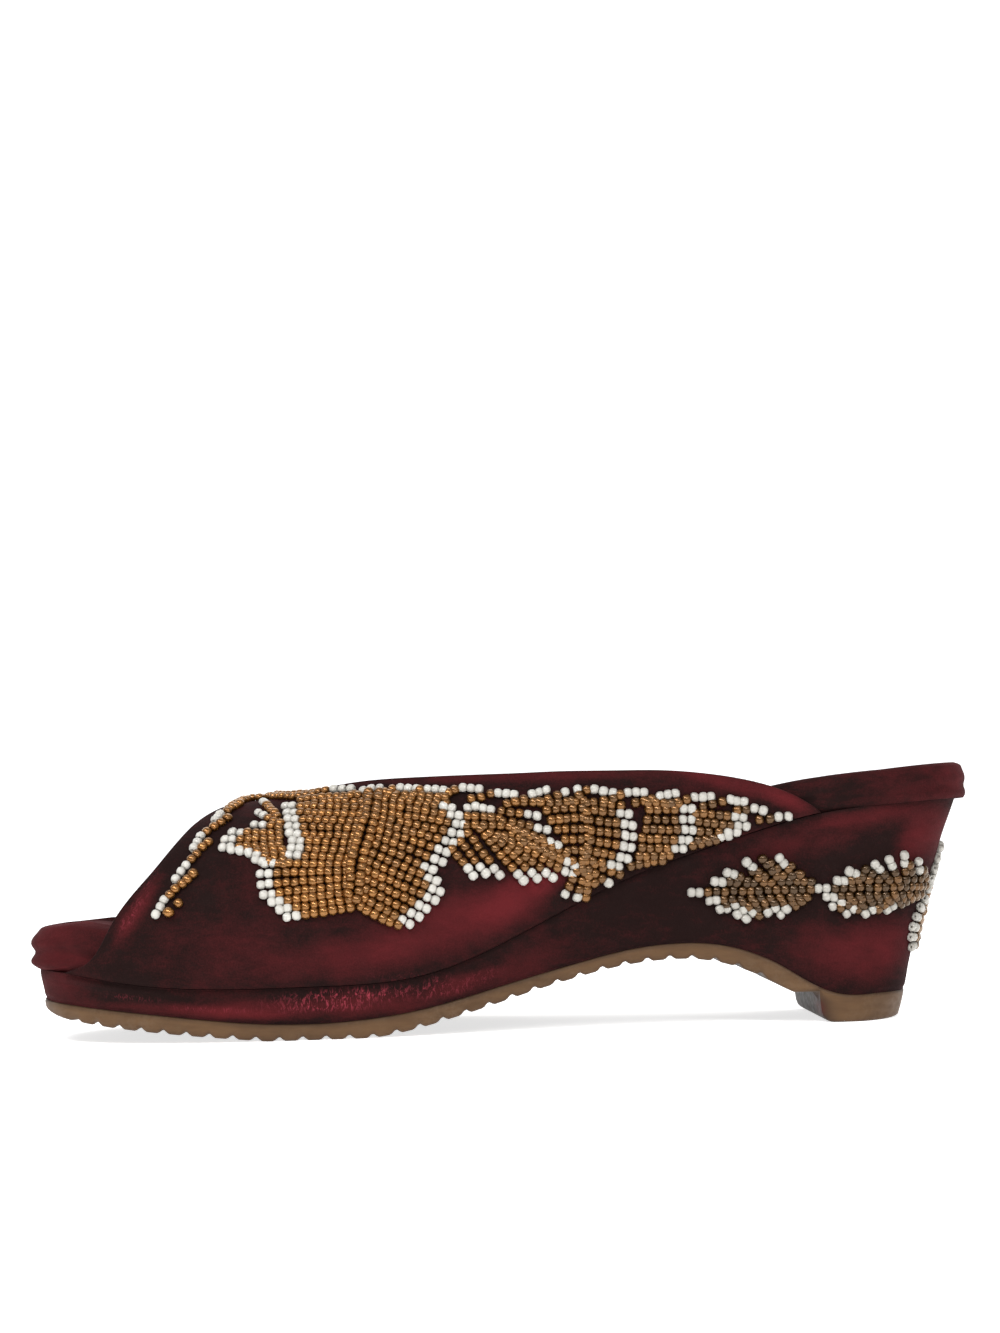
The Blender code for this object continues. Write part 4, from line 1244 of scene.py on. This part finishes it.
def makeLeaf(name, node, side, rows, tip, stem):
    # a feather: slanted rows of each side meet a midrib that starts in two whites at its tip
    found = []
    rib = 33.9
    for white, along, height, root in zip(*(rows[key] for key in rows)):
        upper = 1 if height > rib else -1
        found.append((white, [(aroundFromAlong(along), height), (aroundFromAlong(root), rib + upper * 2.0)]))
    found.append((2, [(aroundFromAlong(tip), rib), (aroundFromAlong(stem), rib)]))
    # painted shade: every leaf bead is darkened by one even amount
    makeBeads(name, [node], layBeads(wedgeChart(side), found), lambda along: 0.72 + 0 * along)


for side, word in ((1, "inner"), (-1, "outer")):
    makeLeaf("frontLeaf_" + word, "leaf_front_" + word, side, frontLeaf, 76.5, 46)
    makeLeaf("backLeaf_" + word, "leaf_back_" + word, side, backLeaf, 44, 15)

# Flower on the back of the heel, one half: whites, outer end by distance round the heel and height, inner end.
heelRows = table(
    "white around height innerAround innerHeight",
    (2, 4.0, 43.5, 1.8, 38.5), (2, 5.8, 40.8, 1.8, 35.8), (2, 7.6, 38.0, 2.0, 33.5), (2, 8.6, 35.4, 2.0, 31.4),
    (1, 8.4, 33.0, 2.2, 30.0),
    (2, 11.0, 30.6, 2.2, 28.4), (2, 13.6, 28.4, 2.4, 26.6), (2, 15.0, 26.0, 2.4, 24.4), (2, 15.8, 23.4, 2.4, 22.4),
    (2, 15.4, 20.8, 2.4, 20.4), (2, 13.6, 18.2, 2.4, 18.6),
)


def makeHeelFlower():
    found = [(2, [(0, 44.5), (0, 18)])]
    for side in (1, -1):
        for white, a, h, b, g in zip(*(heelRows[key] for key in heelRows)):
            found.append((white, [(side * a, h), (side * b, g)]))
    # painted shade: every bead of the flower is darkened by one even amount
    makeBeads("heelFlower", ["flower_heel"], layBeads(wedgeChart(1), found), lambda along: 0.6 + 0 * along)


makeHeelFlower()


# Stage, light and camera

stageShape = {"near": 3.0, "far": -2.2, "wide": 4.5, "tall": 3.5, "curve": 1.2, "glow": 0.7}


def makeStage():
    # pale floor that bends up into a backdrop: a flat run, a quarter circle and an upright, along one profile
    turn = np.radians(np.linspace(0, 90, 17))
    flat = np.column_stack([[stageShape["near"], stageShape["far"]], [0, 0]])
    bend = np.column_stack([
        stageShape["far"] - stageShape["curve"] * np.sin(turn), stageShape["curve"] * (1 - np.cos(turn)),
    ])
    upright = np.array([[bend[-1, 0], stageShape["tall"]]])
    profile = np.vstack([flat, bend[1:], upright])
    x = np.array([-stageShape["wide"], stageShape["wide"]])
    corners = np.stack([
        x[:, None] + 0 * profile[None, :, 0], 0 * x[:, None] + profile[None, :, 0], 0 * x[:, None] + profile[None, :, 1],
    ], -1)
    corners = corners / mm + [originAlong, originAcross, 0]
    material, tree, shader = newMaterial("paleStage")
    shader.inputs["Base Color"].default_value = (0.9, 0.9, 0.9, 1)
    shader.inputs["Roughness"].default_value = 0.9
    shader.inputs["Specular IOR Level"].default_value = 0.0
    shader.inputs["Emission Color"].default_value = (1, 1, 1, 1)
    shader.inputs["Emission Strength"].default_value = stageShape["glow"]
    stage = makePiece("studioFloor", corners, gridQuads(2, len(profile)), [material], merge=None)


makeStage()

# Lights: place, length and width, turn of the length from level, power. The first is a long slanted strip.
lights = table(
    "x y z long wide turn watts",
    (0.25, 0.90, 1.00, 2.40, 0.10, 40, 16.0),
    (0.50, 1.00, 1.30, 0.90, 0.90, 0, 4.0),
    (-0.80, 0.80, 0.90, 0.70, 0.70, 0, 2.0),
    (0.00, -0.90, 1.40, 1.00, 1.00, 0, 4.0),
)
worldLevel = 0.38


def makeLights():
    for i in range(len(lights["x"])):
        light = bpy.data.lights.new(f"softLight{i}", "AREA")
        light.shape = "RECTANGLE"
        light.size, light.size_y = lights["long"][i], lights["wide"][i]
        light.energy = lights["watts"][i]
        obj = bpy.data.objects.new(light.name, light)
        place = np.array([lights["x"][i], lights["y"][i], lights["z"][i]])
        forward = np.array([0.0, 0.0, 0.03]) - place
        forward /= np.linalg.norm(forward)
        turn = np.radians(lights["turn"][i])
        length = np.array([np.cos(turn), 0, np.sin(turn)])
        length -= forward * (forward @ length)
        length /= np.linalg.norm(length)
        width = np.cross(length, forward)
        obj.matrix_world = Matrix([[length[k], width[k], -forward[k], place[k]] for k in range(3)] + [[0, 0, 0, 1]])
        bpy.context.scene.collection.objects.link(obj)
    world = bpy.data.worlds.new("paleRoom")
    world.use_nodes = True
    world.node_tree.nodes["Background"].inputs["Color"].default_value = (1, 1, 1, 1)
    world.node_tree.nodes["Background"].inputs["Strength"].default_value = worldLevel
    bpy.context.scene.world = world


makeLights()

cameraShape = {"focal": 2314.7, "frameHeight": 1333, "along": 123.83, "across": 620.0, "height": 45.0, "pitch": 4.615, "roll": -1.488}


def makeCamera():
    # level view along -Y, pitched up and then rolled; the focal length is in pixels of the 1000 by 1333 frame
    pitch, roll = np.radians(cameraShape["pitch"]), np.radians(cameraShape["roll"])
    level, up, right = np.array([0, -1.0, 0]), np.array([0, 0, 1.0]), np.array([-1.0, 0, 0])
    forward = level * np.cos(pitch) + up * np.sin(pitch)
    top = up * np.cos(pitch) - level * np.sin(pitch)
    side = right * np.cos(roll) + top * np.sin(roll)
    top = top * np.cos(roll) - right * np.sin(roll)
    place = (np.array([cameraShape["along"], cameraShape["across"], cameraShape["height"]]) - [originAlong, originAcross, 0]) * mm
    data = bpy.data.cameras.new("sideCamera")
    data.sensor_fit = "VERTICAL"
    data.sensor_height = 36.0
    data.lens = cameraShape["focal"] * data.sensor_height / cameraShape["frameHeight"]
    data.clip_start = 0.01
    camera = bpy.data.objects.new("sideCamera", data)
    camera.matrix_world = Matrix([[side[k], top[k], -forward[k], place[k]] for k in range(3)] + [[0, 0, 0, 1]])
    bpy.context.scene.collection.objects.link(camera)
    bpy.context.scene.camera = camera
    bpy.context.scene.view_settings.view_transform = "Standard"


makeCamera()
print("stage, light and camera made")
